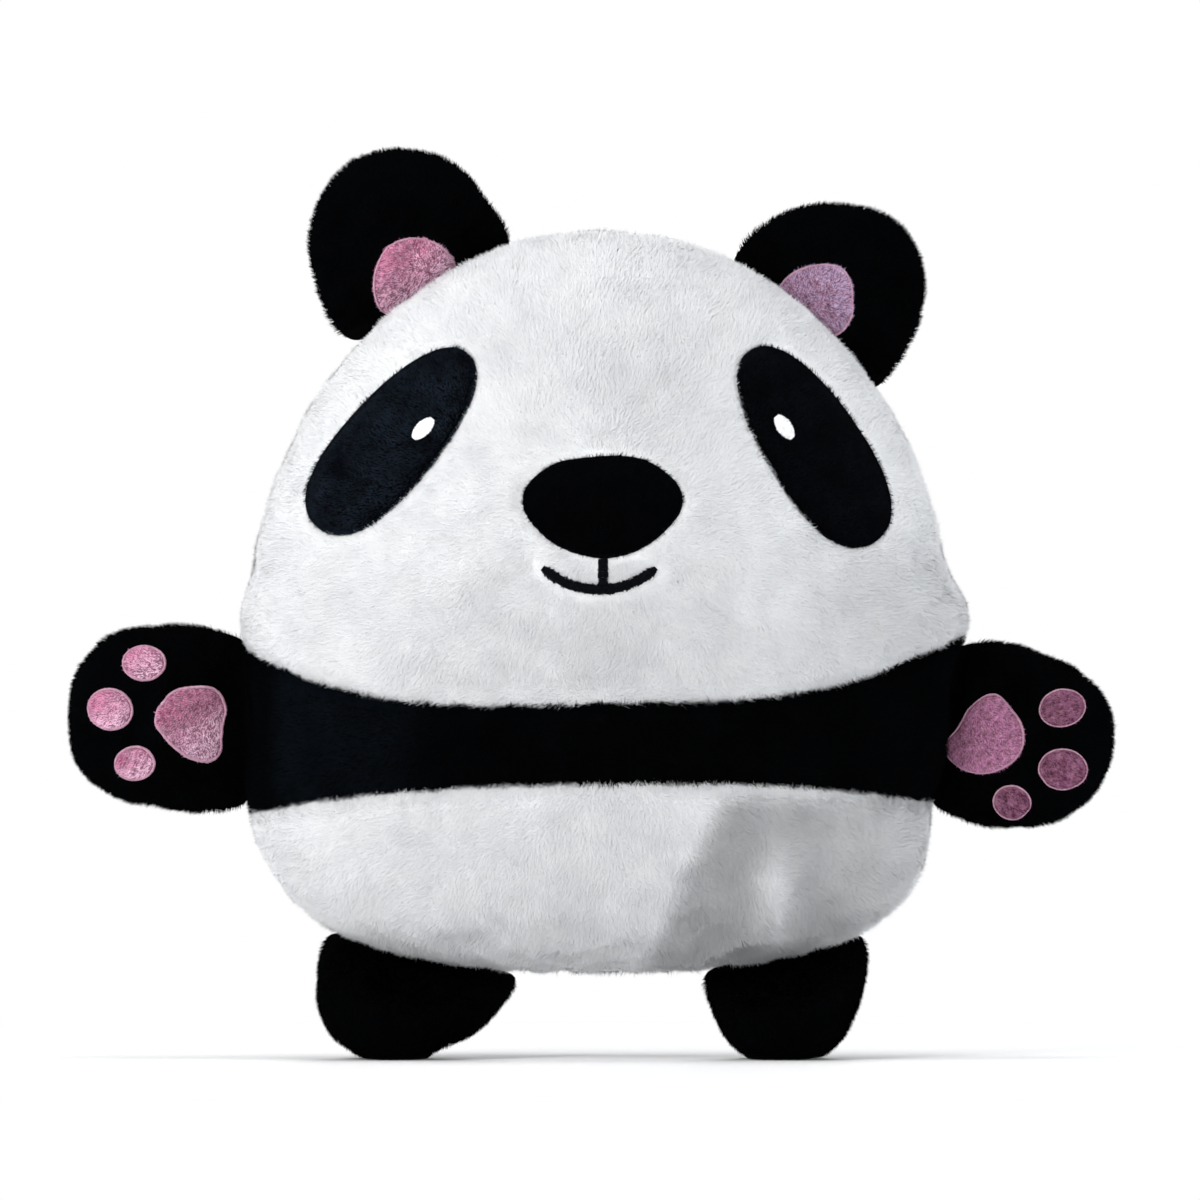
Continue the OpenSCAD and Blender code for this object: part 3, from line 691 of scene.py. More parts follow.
def band_top(u):
    return BAND_TOP + BAND_RISE * np.abs(u) ** 3.4 + 3.2 * u


def band_bottom(u):
    return BAND_BOTTOM - BAND_DROP * np.abs(u) ** 2.4 + 2.4 * u


def plain_body(angle, arc):
    """The body before it is stuffed: a point at an angle round the slice (radians) and an arc length."""
    angle, arc = np.broadcast_arrays(angle, arc)
    z = z_of(arc)
    c, s = np.cos(angle), np.sin(angle)
    return np.stack([
        half_width(z, c) * power(c, 2 / SLICE), half_depth(z) * power(s, 2 / SLICE), z,
    ], -1)


SIM_COLS, SIM_ROWS = 132, 92


def stuff_body():
    """How far the stuffing moves each point of the plain body, by row and column. Its seams are held."""
    arc = ARC * np.arange(1, SIM_ROWS) / SIM_ROWS
    angle = 2 * np.pi * np.arange(SIM_COLS) / SIM_COLS
    grid = plain_body(angle[None, :], arc[:, None])
    rows = len(arc)
    poles = np.array([[0, 0, BELLY_Z], [0, 0, CROWN_Z]])
    quads = grid_quads(rows, SIM_COLS, True)
    ring = np.arange(SIM_COLS)
    ahead = (ring + 1) % SIM_COLS
    top, low_pole = (rows - 1) * SIM_COLS, rows * SIM_COLS
    fans = np.concatenate([
        np.stack([ahead, ring, np.full(SIM_COLS, low_pole)], 1),
        np.stack([top + ring, top + ahead, np.full(SIM_COLS, low_pole + 1)], 1),
    ])
    tris = np.concatenate([split(quads), fans])
    u = np.cos(angle)[None, :]
    z = z_of(arc)[:, None]
    from_seam = np.abs((angle + np.pi / 2) % np.pi - np.pi / 2)[None, :] * np.ones_like(z)
    pin = np.where(from_seam < 0.5 * 2 * np.pi / SIM_COLS, 1.0, 0.0)
    for edge in (band_top(u), band_bottom(u)):
        pin = np.maximum(pin, np.where(np.abs(z - edge) < 3.4, 0.35, 0))
    pin = np.concatenate([pin.ravel(), [1.0, 1.0]])
    move = inflate(np.concatenate([grid.reshape(-1, 3), poles]), tris, pin, pressure=4.0, grow=0.012, cap=7.0)
    puff = np.zeros((SIM_ROWS + 1, SIM_COLS, 3))
    puff[1:SIM_ROWS] = move[:low_pole].reshape(rows, SIM_COLS, 3)
    puff[0], puff[SIM_ROWS] = move[low_pole:]
    return puff


PUFF = stuff_body()


def stuffed_body(angle, arc):
    return plain_body(angle, arc) + bicubic(PUFF, arc / ARC * SIM_ROWS, angle / (2 * np.pi) * SIM_COLS)


# outlines on a flat plane, in mm
def oval(centre, length, width, tilt, exponent, count=96, egg=0.0):
    t = 2 * np.pi * np.arange(count) / count
    a = length * power(np.cos(t), 2 / exponent)
    b = width * power(np.sin(t), 2 / exponent) * (1 + egg * np.cos(t))
    c, s = math.cos(math.radians(tilt)), math.sin(math.radians(tilt))
    return np.stack([centre[0] + a * c - b * s, centre[1] + a * s + b * c], 1)


def round_shape(centre, radii, count=96):
    t = 360 * np.arange(count) / count
    r = curve_radius(radii, t)
    k = np.radians(t)
    return np.stack([centre[0] + r * np.cos(k), centre[1] + r * np.sin(k)], 1)


def outline_distance(points, outline):
    """Distance of 2-D points from a closed outline: negative inside."""
    flat = points.reshape(-1, 2)
    a, b = outline, np.roll(outline, -1, 0)
    best = np.full(len(flat), 1e9)
    inside = np.zeros(len(flat), bool)
    for p, q in zip(a, b):
        d = q - p
        t = np.clip(((flat - p) @ d) / max(d @ d, 1e-9), 0, 1)
        best = np.minimum(best, np.hypot(*(flat - p - t[:, None] * d).T))
        crosses = (p[1] > flat[:, 1]) != (q[1] > flat[:, 1])
        at = p[0] + (flat[:, 1] - p[1]) * (q[0] - p[0]) / (q[1] - p[1] if q[1] != p[1] else 1e-9)
        inside ^= crosses & (flat[:, 0] < at)
    return np.where(inside, -best, best).reshape(points.shape[:-1])


EYE_CENTRE = [np.array([-91.1, 270.6]), np.array([93.3, 268.0])]
EYE = [
    oval(EYE_CENTRE[0] + [0.5, 0.6], 49.2, 19.7, 49, 2.3, egg=-0.10),
    oval(EYE_CENTRE[1] + [-0.5, 0.7], 48.9, 20.3, 123, 2.3, egg=-0.10),
]
NOSE_CENTRE = np.array([1.5, 245.5])
NOSE_RADII = [33.4, 26.5, 20.2, 17.5, 19.2, 26.5, 34.0, 29.6, 25.7, 24.6, 25.5, 28.5]
NOSE = round_shape(NOSE_CENTRE, NOSE_RADII)


FACE_X = 1.5
FOLD_Z = 43.0


def fold_edge(z, start):
    """x of the slanting crease in the lower right of the belly, which is at start where z is FOLD_Z."""
    return start + 0.44 * (z - FOLD_Z)


def front_details(x, z):
    """Height added to the front of the body, in mm."""
    h = 7.5 * np.exp(hill(x, FACE_X, 50) + hill(z, 236, 33))  # the muzzle
    q = np.stack([x, z], -1)
    for outline, dome, inset in ((EYE[0], 1.1, 9.0), (EYE[1], 1.1, 9.0), (NOSE, 3.0, 13.0)):
        d = outline_distance(q, outline)
        h = h - 1.9 * np.exp(-((d / 2.6) ** 2)) + dome * smooth(-d / inset)
    x2 = (x - FACE_X) ** 2
    h = h + 0.9 * np.exp(hill(z - 279 + 0.004 * x2, 0, 6) + hill(x, FACE_X, 34))  # wrinkle over the nose
    h = h - 1.5 * np.exp(hill(z - 269 + 0.006 * x2, 0, 3.2) + hill(x, FACE_X, 26))
    slope = smooth((x - fold_edge(z, 16)) / 20) * (1 - smooth((x - 84) / 44))
    ridge = np.exp(hill(x, 76, 9.5) + hill(z, 72, 25))
    dent = np.exp(hill(x - 100 - 0.1 * (z - 70), 0, 9))
    high = smooth((118 - z) / 22) * smooth((z - 36) / 24)
    return h + high * (-8.5 * slope + 6.5 * ridge - 1.5 * dent)


def nap_of(p):
    """Painted shade in the colour of the white pile and cloth: 1 where it is left bright, less on the front in
    the crease at the lower right of the belly, at the chin, on the right cheek and on the brow, with a slight
    random mottle.
    """
    x, z = p[..., 0], p[..., 2]
    fold = smooth((x - fold_edge(z, 13)) / 14) * smooth((119 - z) / 8)
    fold = fold * (1 - 0.85 * np.exp(hill(x, 74, 8.5) + hill(z, 71, 21))) * (1 - 0.15 * smooth((x - 85) / 20))
    chin = np.exp(hill(x, 10, 80) + hill(z, 185, 26))
    brow = np.exp(hill(x, 8, 62) + hill(z, 298, 32))
    cheek = smooth((x - 70) / 60) * np.exp(hill(z, 190, 40))
    dark = smooth(-p[..., 1] / 12) * (0.43 * fold + 0.10 * chin + 0.19 * cheek + 0.13 * brow)
    return np.clip(1 - dark + 0.035 * noise(p, 24.0, 1) + 0.025 * noise(p, 9.0, 2), 0, 1)


def body_grid(side, rows, cols, low, high, gaps):
    """Grid of points and normals on the front or back of the body, between two seam curves of u."""
    angle = side * np.pi * np.linspace(0, 1, cols)[None, :] * np.ones((rows, 1))
    u = np.cos(angle)
    lo, hi = arc_of(low(u) + gaps[0]), arc_of(high(u) - gaps[1])
    arc = lo + (hi - lo) * np.linspace(0, 1, rows)[:, None]
    arc = np.clip(arc, 0.5, ARC - 0.5)
    p = stuffed_body(angle % (2 * np.pi), arc)
    rough = np.stack([p[..., 0] * 0.3, np.full_like(p[..., 0], side * 60.0), (p[..., 2] - 190) * 0.5], -1)
    n = grid_normals(p, rough)
    z = p[..., 2]
    lift = np.zeros_like(angle)
    if side == FRONT:
        lift = front_details(p[..., 0], z) * smooth(np.abs(p[..., 1]) / 14)
    for seam in (band_top(u), band_bottom(u)):
        lift = lift - 2.6 * np.exp(hill(z, seam, 4.0))
    lift = lift + 1.0 * noise(p, 46) + 0.45 * noise(p, 17, 1)
    lift = lift * smooth(np.abs(p[..., 1]) / 10)
    p = p + n * lift[..., None]
    return p, grid_normals(p, rough)


def crown(u):
    return np.full_like(u, CROWN_Z)


def under(u):
    return np.full_like(u, BELLY_Z)


SEAM_GAP = 0.4  # mm from a panel's edge to the seam
WHITE = WHITE_CLOTH, WHITE_FUR, "white_plush"
BLACK = BLACK_CLOTH, BLACK_FUR, "black_plush"
PANELS = {  # CAD node, rows, lower and upper edge, distance of each from its seam, cloth, pile, slot
    "head": ("head_{}_panel", 96, band_top, crown, (SEAM_GAP, 0), *WHITE),
    "band": ("chest_band_{}", 20, band_bottom, band_top, (SEAM_GAP, SEAM_GAP), *BLACK),
    "belly": ("belly_{}_panel", 60, under, band_bottom, (0, SEAM_GAP), *WHITE),
}
SURFACE = {}
for part, (node, rows, low, high, gaps, cloth, fur, slot) in PANELS.items():
    for side, word in ((FRONT, "front"), (BACK, "back")):
        p, n = body_grid(side, rows, 200, low, high, gaps)
        SURFACE[part, side] = (p, n)
        obj = sheet_object(f"{part}_{word}_cloth", p, n, 2.0, cloth)
        if part != "band":
            # painted shade in the white cloth's colour, as in its pile
            point_layer(obj, "painted_shade", np.tile(nap_of(p).ravel(), 2))
        stand_for(obj, node.format(word), "body")

# a dense lookup of the front surface, for laying patches and stitches on it by x and z
looked_up = [SURFACE[part, FRONT] for part in ("belly", "band", "head")]
FRONT_POINTS, FRONT_NORMALS = (np.concatenate([s[k].reshape(-1, 3) for s in looked_up]) for k in (0, 1))
FRONT_TREE = KDTree(len(FRONT_POINTS))
for i, q in enumerate(FRONT_POINTS):
    FRONT_TREE.insert((q[0], 0, q[2]), i)
FRONT_TREE.balance()


def on_front(xz, lift=0.0):
    """Points and normals on the front of the body at [x, z], in mm."""
    flat = np.asarray(xz, float).reshape(-1, 2)
    out, nor = np.empty((len(flat), 3)), np.empty((len(flat), 3))
    for k, q in enumerate(flat):
        near = FRONT_TREE.find_n((q[0], 0, q[1]), 6)
        idx = [m[1] for m in near]
        w = np.array([1 / (m[2] + 0.05) ** 2 for m in near])
        w /= w.sum()
        pos, nn = FRONT_POINTS[idx], unit((w[:, None] * FRONT_NORMALS[idx]).sum(0))
        gap = np.array([q[0], 0, q[1]]) - pos
        flat_y = pos[:, 1] - (gap[:, 0] * nn[0] + gap[:, 2] * nn[2]) / nn[1]
        out[k] = (q[0], (w * flat_y).sum(), q[1])
        nor[k] = nn
    shape = np.asarray(xz).shape[:-1] + (3,)
    return (out + nor * lift).reshape(shape), nor.reshape(shape)


# ---------------------------------------------------------------- fur of the body


def brushed(p):
    """The pile is brushed outwards to the seam, from the nose on the face and elsewhere from mid-band."""
    face = ((p[..., 1] < 0) & (p[..., 2] > 165))[..., None]
    t = (p - np.where(face, [1.5, 0, 243], [0, 0, 150])) * [1, 0, 1]
    t = unit(t + 1e-6)
    t[..., 1] = np.where(p[..., 1] > 0, -1.3 * smooth((p[..., 1] - 4) / 18), 1.3)
    return t


SMILE_R, MOUTH = 37.2, np.array([-0.3, 206.2])
t = np.radians(270 + 41.4 * np.linspace(-1, 1, 60))
SMILE = np.stack([MOUTH[0] + SMILE_R * np.cos(t), MOUTH[1] + SMILE_R + SMILE_R * np.sin(t)], 1)
STEM = np.stack([np.full(20, MOUTH[0] + 1.6), np.linspace(MOUTH[1] + 2.0, 219.5, 20)], 1)


def line_distance(q, line):
    best = np.full(len(q), 1e9)
    for a in line[::3]:
        best = np.minimum(best, np.hypot(*(q - a).T))
    return best


def face_room(p):
    q = p[:, (0, 2)]
    best = np.full(len(q), 99.0)
    shapes = [(outline, outline_distance, 6, 0.4) for outline in (EYE[0], EYE[1], NOSE)]
    shapes += [(line, line_distance, 8, 2.2) for line in (SMILE, STEM)]
    for shape, distance, reach, margin in shapes:
        k = ((q > shape.min(0) - reach) & (q < shape.max(0) + reach)).all(1)
        best[k] = np.minimum(best[k], distance(q[k], shape) - margin)
    return best


def band_nap(p):
    """Painted light: the black band's pile is made lighter at the left of the front, where the light catches it.
    """
    return smooth((-p[..., 1] - 5) / 20) * smooth((p[..., 0] + 146) / 10) * smooth((-60 - p[..., 0]) / 45)


def upwards(p):
    return np.broadcast_to([0.0, 0.0, 1.0], p.shape)


LOOK = dict(per_mm2=2.9, length=3.7, width=0.40, lean=40, mottle=0.16)
# the white pile's colour carries painted shade on the front of the body
WHITE_LOOK = dict(LOOK, both=True, painted_shade=nap_of, lean=66, length=4.4, twist=0.4, mottle=0.13, ruffle=0.75)
BAND_LOOK = dict(LOOK, length=3.4, painted_shade=band_nap)
FRINGE = dict(per_mm2=3.5, lean=60, clump=5.0, turn=70.0)  # the tufts that stand up over the seam above
FRINGE_LENGTH = {"band": 4.8, "belly": 3.6}

for part, (*_, fur, slot) in PANELS.items():
    look = BAND_LOOK if part == "band" else WHITE_LOOK
    for side, word in ((FRONT, "front"), (BACK, "back")):
        p, n = SURFACE[part, side]
        room = face_room if (part, side) == ("head", FRONT) else None
        seed = 100 + len(part) * 7 + side
        v, vn, f = triangles_of(p, n)
        for share in np.array_split(f, 2 if part == "head" else 1):
            seed += 1
            pile = f"{part}_{word}_pile_{seed}"
            obj = grow_pile(pile, (v, vn, share), fur, brushed, seed=seed, room=room, **look)
        if part in FRINGE_LENGTH:
            edge = triangles_of(p[-3:], n[-3:])
            tufts = {**look, **FRINGE, "length": FRINGE_LENGTH[part]}
            obj = grow_pile(f"{part}_{word}_fringe", edge, fur, upwards, seed=seed + 50, **tufts)

# ---------------------------------------------------------------- face


def patch_points(outline, centre, rings=14):
    """Rings of the outline, shrunk towards the centre."""
    share = np.cos(np.linspace(0, 1, rings) ** 0.9 * np.pi / 2)
    share[-1] = 0.004
    return centre + share[:, None, None] * (outline - centre)[None]


SHORT = dict(per_mm2=4.0, length=2.2, width=0.4, lean=52, clump=8, mottle=0.35)


def face_patch(name, node, outline, centre, lift, dome, fur, seed, painted_lightness=0.0):
    flat = patch_points(outline, centre)
    base, n = on_front(flat)
    d = -outline_distance(flat, outline)
    p = base + n * (lift * smooth(d / 1.6) + dome * smooth(d / 12))[..., None]
    nn = grid_normals(p, n)
    stand_for(sheet_object(f"{name}_cloth", p, nn, 1.0, BLACK_CLOTH, wrap=True), node, "body")
    rim = centre + np.array([1.012, 0.99, 0.97])[:, None, None] * (outline - centre)[None]
    ring, up = on_front(rim, 1.7)
    mid = ring.reshape(-1, 3).mean(0)

    def painted_shade(q):
        return np.full(len(q), painted_lightness)

    def outwards(q):
        return unit(q - mid)

    pile = grow_pile(f"{name}_pile", triangles_of(p, nn, True), fur, brushed, seed=seed, painted_shade=painted_shade, **SHORT)
    edge = triangles_of(ring, up, True)
    tufts = {**SHORT, "length": 2.3, "lean": 70}
    pile = grow_pile(f"{name}_fringe", edge, fur, outwards, seed=seed + 7, painted_shade=painted_shade, **tufts)


def embroider(name, node, slot, line, lift, width, thread, **look):
    at, up = on_front(line, lift)
    stand_for(satin(name, at, up, width, thread, **look), node)


def patch_edge(name, node, outline, centre, width, rise):
    line = outline + unit(outline - centre) * 0.2
    embroider(name, node, "black_embroidery", line, 0, width, BLACK_THREAD, closed=True, rise=rise)


for s, word in ((LEFT, "left"), (RIGHT, "right")):
    # painted shade: the right eye patch's pile is darkened, the left one's is not
    painted_lightness = (1.0, 0.1)[s]
    face_patch(f"eye_{word}", f"eye_patch_{word}", EYE[s], EYE_CENTRE[s], 1.2, 0.6, EYE_FUR, 31 + s, painted_lightness)
    patch_edge(f"eye_{word}_edge", f"eye_edge_stitching_{word}", EYE[s], EYE_CENTRE[s], 2.2, 0.9)
face_patch("nose", "nose_patch", NOSE, NOSE_CENTRE, 1.3, 1.6, BLACK_FUR, 41)
patch_edge("nose_edge", "nose_edge_stitching", NOSE, NOSE_CENTRE, 2.4, 1.0)

# highlights: satin-filled ovals, with the threads across their short axis
GLINT_HALF, GLINT_WIDTH = 6.1, 6.8
for centre, tilt, word in [((-76.4, 275.7), 47, "left"), ((79.9, 276.4), 127, "right")]:
    k = math.radians(tilt)
    t = np.linspace(-0.98, 0.98, 30)
    line = np.array(centre) + np.stack([t * GLINT_HALF * math.cos(k), t * GLINT_HALF * math.sin(k)], 1)
    width = GLINT_WIDTH * np.sqrt(1 - t * t) + 0.2
    name, node = f"eye_highlight_{word}_threads", f"eye_highlight_{word}"
    embroider(name, node, "white_embroidery", line, 2.5, width, WHITE_THREAD, pitch=0.5, rise=0.7, slant=0.1)

MOUTH_LOOK = dict(pitch=0.5, slant=0.1, rough=0.09)
ends = 4.6 * np.clip(1.25 - np.abs(np.linspace(-1, 1, 60)) ** 12, 0.45, 1)
for name, line, lift, width, rise in (("smile", SMILE, 1.0, ends, 1.7), ("line", STEM, 0.6, 4.4, 1.6)):
    name, look = f"mouth_{name}", dict(MOUTH_LOOK, rise=rise)
    embroider(name, f"{name}_stitching", "black_embroidery", line, lift, width, BLACK_THREAD, **look)

# ---------------------------------------------------------------- limbs


class Limb:
    """An ear, arm or foot in its own plane: a runs out from the hinge line and b along it.
    radii give its outline round middle, and half is half its thickness, which grows over the length taper
    from the hinge line. tab is how far it reaches into the body's seam."""

    def __init__(self, name, side, middle, radii, half, profile, taper, tab, floor=None):
        joint = next(j for j in frame["joints"] if j["name"] == f"{name}_fold")
        self.name, self.side, self.floor = name, side, floor
        self.hinge = np.array(joint["pos_m"]) / MM
        axis = np.array(joint["axis"], float)
        self.a = np.cross([0, -1.0, 0], axis)
        self.b = axis if side == LEFT else -axis
        self.middle, self.radii = np.array(middle, float), np.array(radii) - NAP
        self.centre = self.hinge + self.middle[0] * self.a + self.middle[1] * self.b
        self.half, self.profile, self.taper, self.tab = half, profile, taper, tab
        self.puff = {FRONT: None, BACK: None}

    def reach(self, deg):
        free = curve_radius(self.radii, deg)
        back = -np.cos(np.radians(deg))
        limit = (self.middle[0] + self.tab) / np.maximum(back, 0.01)
        joined = -np.log(np.exp(-free / 4) + np.exp(-np.minimum(limit, 200) / 4)) * 4
        return np.where(back > 0.01, joined, free)

    def thick(self, share, a):
        rise = 0.12 + 0.88 * np.sin(np.pi / 2 * np.clip((a + 2) / self.taper, 0, 1))
        return self.half * lobe(share, self.profile, self.profile) * rise

    def plain(self, deg, share, side):
        d = share * self.reach(deg)
        a = self.middle[0] + d * np.cos(np.radians(deg))
        b = self.middle[1] + d * np.sin(np.radians(deg))
        p = self.hinge + a[..., None] * self.a + b[..., None] * self.b
        p[..., 1] = side * self.thick(share, a)
        return p

    def simulate(self, cols=84, rings=15, pressure=5.0, grow=0.015, cap=4.0):
        deg = 360 * np.arange(cols) / cols
        share = np.sin(np.pi / 2 * np.arange(rings, 0, -1) / rings)
        front = self.plain(deg[None] + 0 * share[:, None], share[:, None] + 0 * deg[None], FRONT)
        back = self.plain(deg[None] + 0 * share[:, None], share[:, None] + 0 * deg[None], BACK)[1:]
        mids = np.stack([self.centre + [0, side * self.half, 0] for side in (FRONT, BACK)])
        nf, nb = front.size // 3, back.size // 3
        verts = np.concatenate([front.reshape(-1, 3), back.reshape(-1, 3), mids])
        ring = np.arange(cols)
        nxt = (ring + 1) % cols
        f = grid_quads(rings, cols, True)
        g = grid_quads(rings - 1, cols, True, nf)
        first = np.stack([ring, nxt, nf + nxt, nf + ring], 1)
        lf, lb = (rings - 1) * cols, nf + (rings - 2) * cols
        tris = np.concatenate([
            split(f), np.stack([lf + ring, lf + nxt, np.full(cols, nf + nb)], 1),
            split(first)[:, ::-1], split(g)[:, ::-1],
            np.stack([lb + nxt, lb + ring, np.full(cols, nf + nb + 1)], 1),
        ])
        vol = (verts[tris[:, 0]] * np.cross(verts[tris[:, 1]], verts[tris[:, 2]])).sum()
        if vol < 0:
            tris = tris[:, ::-1]
        pin = np.zeros(len(verts))
        pin[:cols] = 1
        a_of = (verts - self.hinge) @ self.a
        pin[a_of < 4] = 1
        move = inflate(verts, tris, pin, pressure, grow, cap, frames=16)
        for side, block, mid in ((FRONT, move[:nf], nf + nb), (BACK, move[nf:nf + nb], nf + nb + 1)):
            field = np.zeros((rings + 1, cols, 3))
            k = 0 if side == FRONT else 1
            field[k:rings] = block.reshape(-1, cols, 3)
            if k:
                field[0] = move[:cols]
            field[rings] = move[mid]
            self.puff[side] = field
        self.rings, self.cols = rings, cols

    def surface(self, side, deg, share):
        p = self.plain(deg, share, side)
        row = self.rings * (1 - np.arcsin(np.clip(share, 0, 1)) / (np.pi / 2))
        p = p + bicubic(self.puff[side], row, deg / 360 * self.cols)
        if self.floor is not None:
            z = p[..., 2] - NAP * smooth((24 - p[..., 2]) / 14) - self.floor
            p[..., 2] = self.floor + np.logaddexp(0, z / 1.5) * 1.5
        return p

    def grid(self, side, rings=40, cols=180):
        deg = np.broadcast_to(360 * np.arange(cols)[None] / cols, (rings, cols))
        share = np.broadcast_to(np.sin(np.pi / 2 * np.linspace(1, 0.002, rings))[:, None], (rings, cols))
        p = self.surface(side, deg, share)
        rough = np.array([0, side * 20.0, 0]) + (p - self.centre) * 0.4
        n = grid_normals(p, rough)
        lift = 0.5 * noise(p, 19, 2) + 0.25 * noise(p, 8, 1)
        p = p + n * (lift * smooth((1 - share) * 8))[..., None]
        return p, grid_normals(p, rough)

    def flat(self, p):
        """[a, b] of points."""
        q = p - self.hinge
        return np.stack([q @ self.a, q @ self.b], -1)

    def bend(self, obj, start=-6.0, end=5.0):
        """Takes a piece off the body it rides on, if any, and bakes its place into its mesh, so that it rides on
        neither the body nor the limb. start and end are not used.
        """
        if obj.parent is not None:
            obj.parent = None
            del obj["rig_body"]
        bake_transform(obj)

    def on_front(self, ab, lift=0.0):
        """Points and normals on the front at [a, b]."""
        def at(q):
            deg = np.degrees(np.arctan2(q[..., 1], q[..., 0])) % 360
            share = np.clip(np.hypot(q[..., 0], q[..., 1]) / self.reach(deg), 0, 0.999)
            return self.surface(FRONT, deg, share)

        q = np.asarray(ab, float) - self.middle
        p = at(q)
        step = 0.6
        n = unit(np.cross(at(q + [step, 0]) - p, at(q + [0, step]) - p))
        n = n * np.where(n[..., 1:2] > 0, -1, 1)
        return p + n * lift, n


def limb_brushed(limb):
    def flow(p):
        t = 0.8 * limb.a + 0.6 * unit(p - (limb.hinge + limb.middle[0] * limb.a))
        t[..., 2] -= 0.4
        return t
    return flow


def limb_panels(limb, names, seed, pads=()):
    for side, node in ((FRONT, names[0]), (BACK, names[1])):
        p, n = limb.grid(side)
        obj = sheet_object(f"{node}_cloth", p, n, 1.6, BLACK_CLOTH, wrap=True)
        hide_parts(node)
        limb.bend(obj)

        def room(q, side=side):
            ab = limb.flat(q)
            best = ab[:, 0] + 4
            if side == FRONT:
                for outline in pads:
                    best = np.minimum(best, outline_distance(ab, outline) - 0.9)
            return best

        pile = grow_pile(
            f"{node}_pile", triangles_of(p, n, True), BLACK_FUR, limb_brushed(limb), seed=seed + side,
            room=room, floor=0.3 if limb.floor is not None else None, **LIMB_LOOK,
        )
        limb.bend(pile)


def limb_pad(limb, name, node, outline, centre, seed, fur, painted_lightness=None):
    """A pink pad with painted light and shade in its pile: one given level all over, or, with none, paler towards
    the lower right.
    """
    flat = patch_points(outline, centre, 10)
    base, n = limb.on_front(flat)
    d = -outline_distance(flat, outline)
    p = base + n * (0.9 * smooth((d + 0.9) / 1.8) + 0.7 * smooth(d / 8))[..., None]
    nn = grid_normals(p, n)
    obj = sheet_object(f"{name}_cloth", p, nn, 0.8, PINK_CLOTH, wrap=True)
    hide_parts(node)
    limb.bend(obj)
    middle, spread = p.reshape(-1, 3).mean(0), p.reshape(-1, 3).std(0).max()

    # painted light and shade over the pad, with a slight random mottle
    def painted_shade(q):
        if painted_lightness is not None:
            return np.full(len(q), painted_lightness)
        d = (q - middle) / spread
        return np.clip(0.45 + 0.3 * (0.8 * d[:, 0] - d[:, 2]) + 0.2 * noise(q, 5.0, 2), 0, 1)

    pile = grow_pile(
        f"{name}_pile", triangles_of(p, nn, True), fur, limb_brushed(limb), seed=seed,
        per_mm2=4.6, length=2.1, width=0.56, lean=62, clump=4, mottle=0.3, painted_shade=painted_shade, fleck=0.12,
    )
    limb.bend(pile)


def limb_edge(limb, name, outline, centre, width, out=0.4):
    edge, up = limb.on_front(outline + unit(outline - centre) * out, 0.5)
    obj = satin(name, edge, up, width, PINK_THREAD, closed=True, rise=0.8, pitch=0.5)
    limb.bend(obj)
    return obj


def limb_stuffing(limb, node, rings=16, cols=72):
    deg = np.broadcast_to(360 * np.arange(cols)[None] / cols, (rings, cols))
    share = np.broadcast_to(np.sin(np.pi / 2 * np.linspace(1, 0.01, rings))[:, None], (rings, cols))
    halves = [limb.surface(side, deg, share) for side in (FRONT, BACK)]
    p = np.concatenate([halves[0][::-1], halves[1][1:]])
    p = limb.centre + (p - limb.centre) * np.array([0.90, 0.72, 0.90])
    q = grid_quads(p.shape[0], cols, True)
    obj = mesh_object(f"{node}_fill", p.reshape(-1, 3), q, FIBRE)
    bake_layer(obj)
    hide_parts(node)
    limb.bend(obj)


EAR_MIDDLE = [(17.7, 3.3), (9.9, -1.5)]
EAR_RADII = 44 * np.array([
    [1.02, 0.99, 0.95, 0.92, 1.01, 1.08, 1.1, 1.08, 1.04, 1.02, 0.99, 1.02],
    [1, 0.97, 0.97, 1.02, 1.06, 1.08, 1.08, 1.08, 1, 0.92, 0.9, 0.96],
])
EAR_PATCH_CENTRE = [np.array([7.9, -1.8]), np.array([7.9, 2.5])]
EAR_PATCH_RADII = [
    [13.2, 13.6, 15.2, 18.2, 20, 17, 14, 17, 20.6, 17.1, 14.1, 13.0],
    [14.0, 13.3, 13.2, 15.4, 18, 17, 14, 17, 17.8, 16.2, 13.6, 13.3],
]
ARM_RADII = 41 * np.array([1, 1, 1, 1.03, 1.14, 1.45, 1.5, 1.45, 1.08, 0.95, 0.98, 1])
PALM_CENTRE = [np.array([18.7, -0.1]), np.array([13.8, -1.5])]
PALM_RADII = [
    [15.6, 15.3, 15.1, 14.7, 16.2, 14.9, 12.2, 13.3, 18.2, 15.8, 13.5, 13.2],
    [15.6, 15.6, 15.2, 18.0, 14.3, 11.7, 12.3, 18.2, 17.4, 16.2, 15.4, 15.4],
]
TOES = [  # centre, half length, half width, tilt of each toe pad, from the first to the last
    [((40.5, 25.3), 8.6, 6.9, 0), ((55.3, 5.5), 9.0, 8.2, 20), ((44.3, -17.8), 8.2, 6.5, 0)],
    [((44.5, 15.9), 9.3, 7.4, 20), ((49.3, -10.0), 9.8, 8.2, 10), ((30.0, -27.8), 7.6, 6.6, 0)],
]
FOOT_MIDDLE = [(14, 6), (14, -3)]
FOOT_RADII = [
    [32, 33.5, 35, 36.5, 44, 60, 60, 60, 60, 42.5, 33.5, 31.5],
    [31, 32, 33, 36, 45, 60, 60, 60, 38, 34, 33, 31],
]
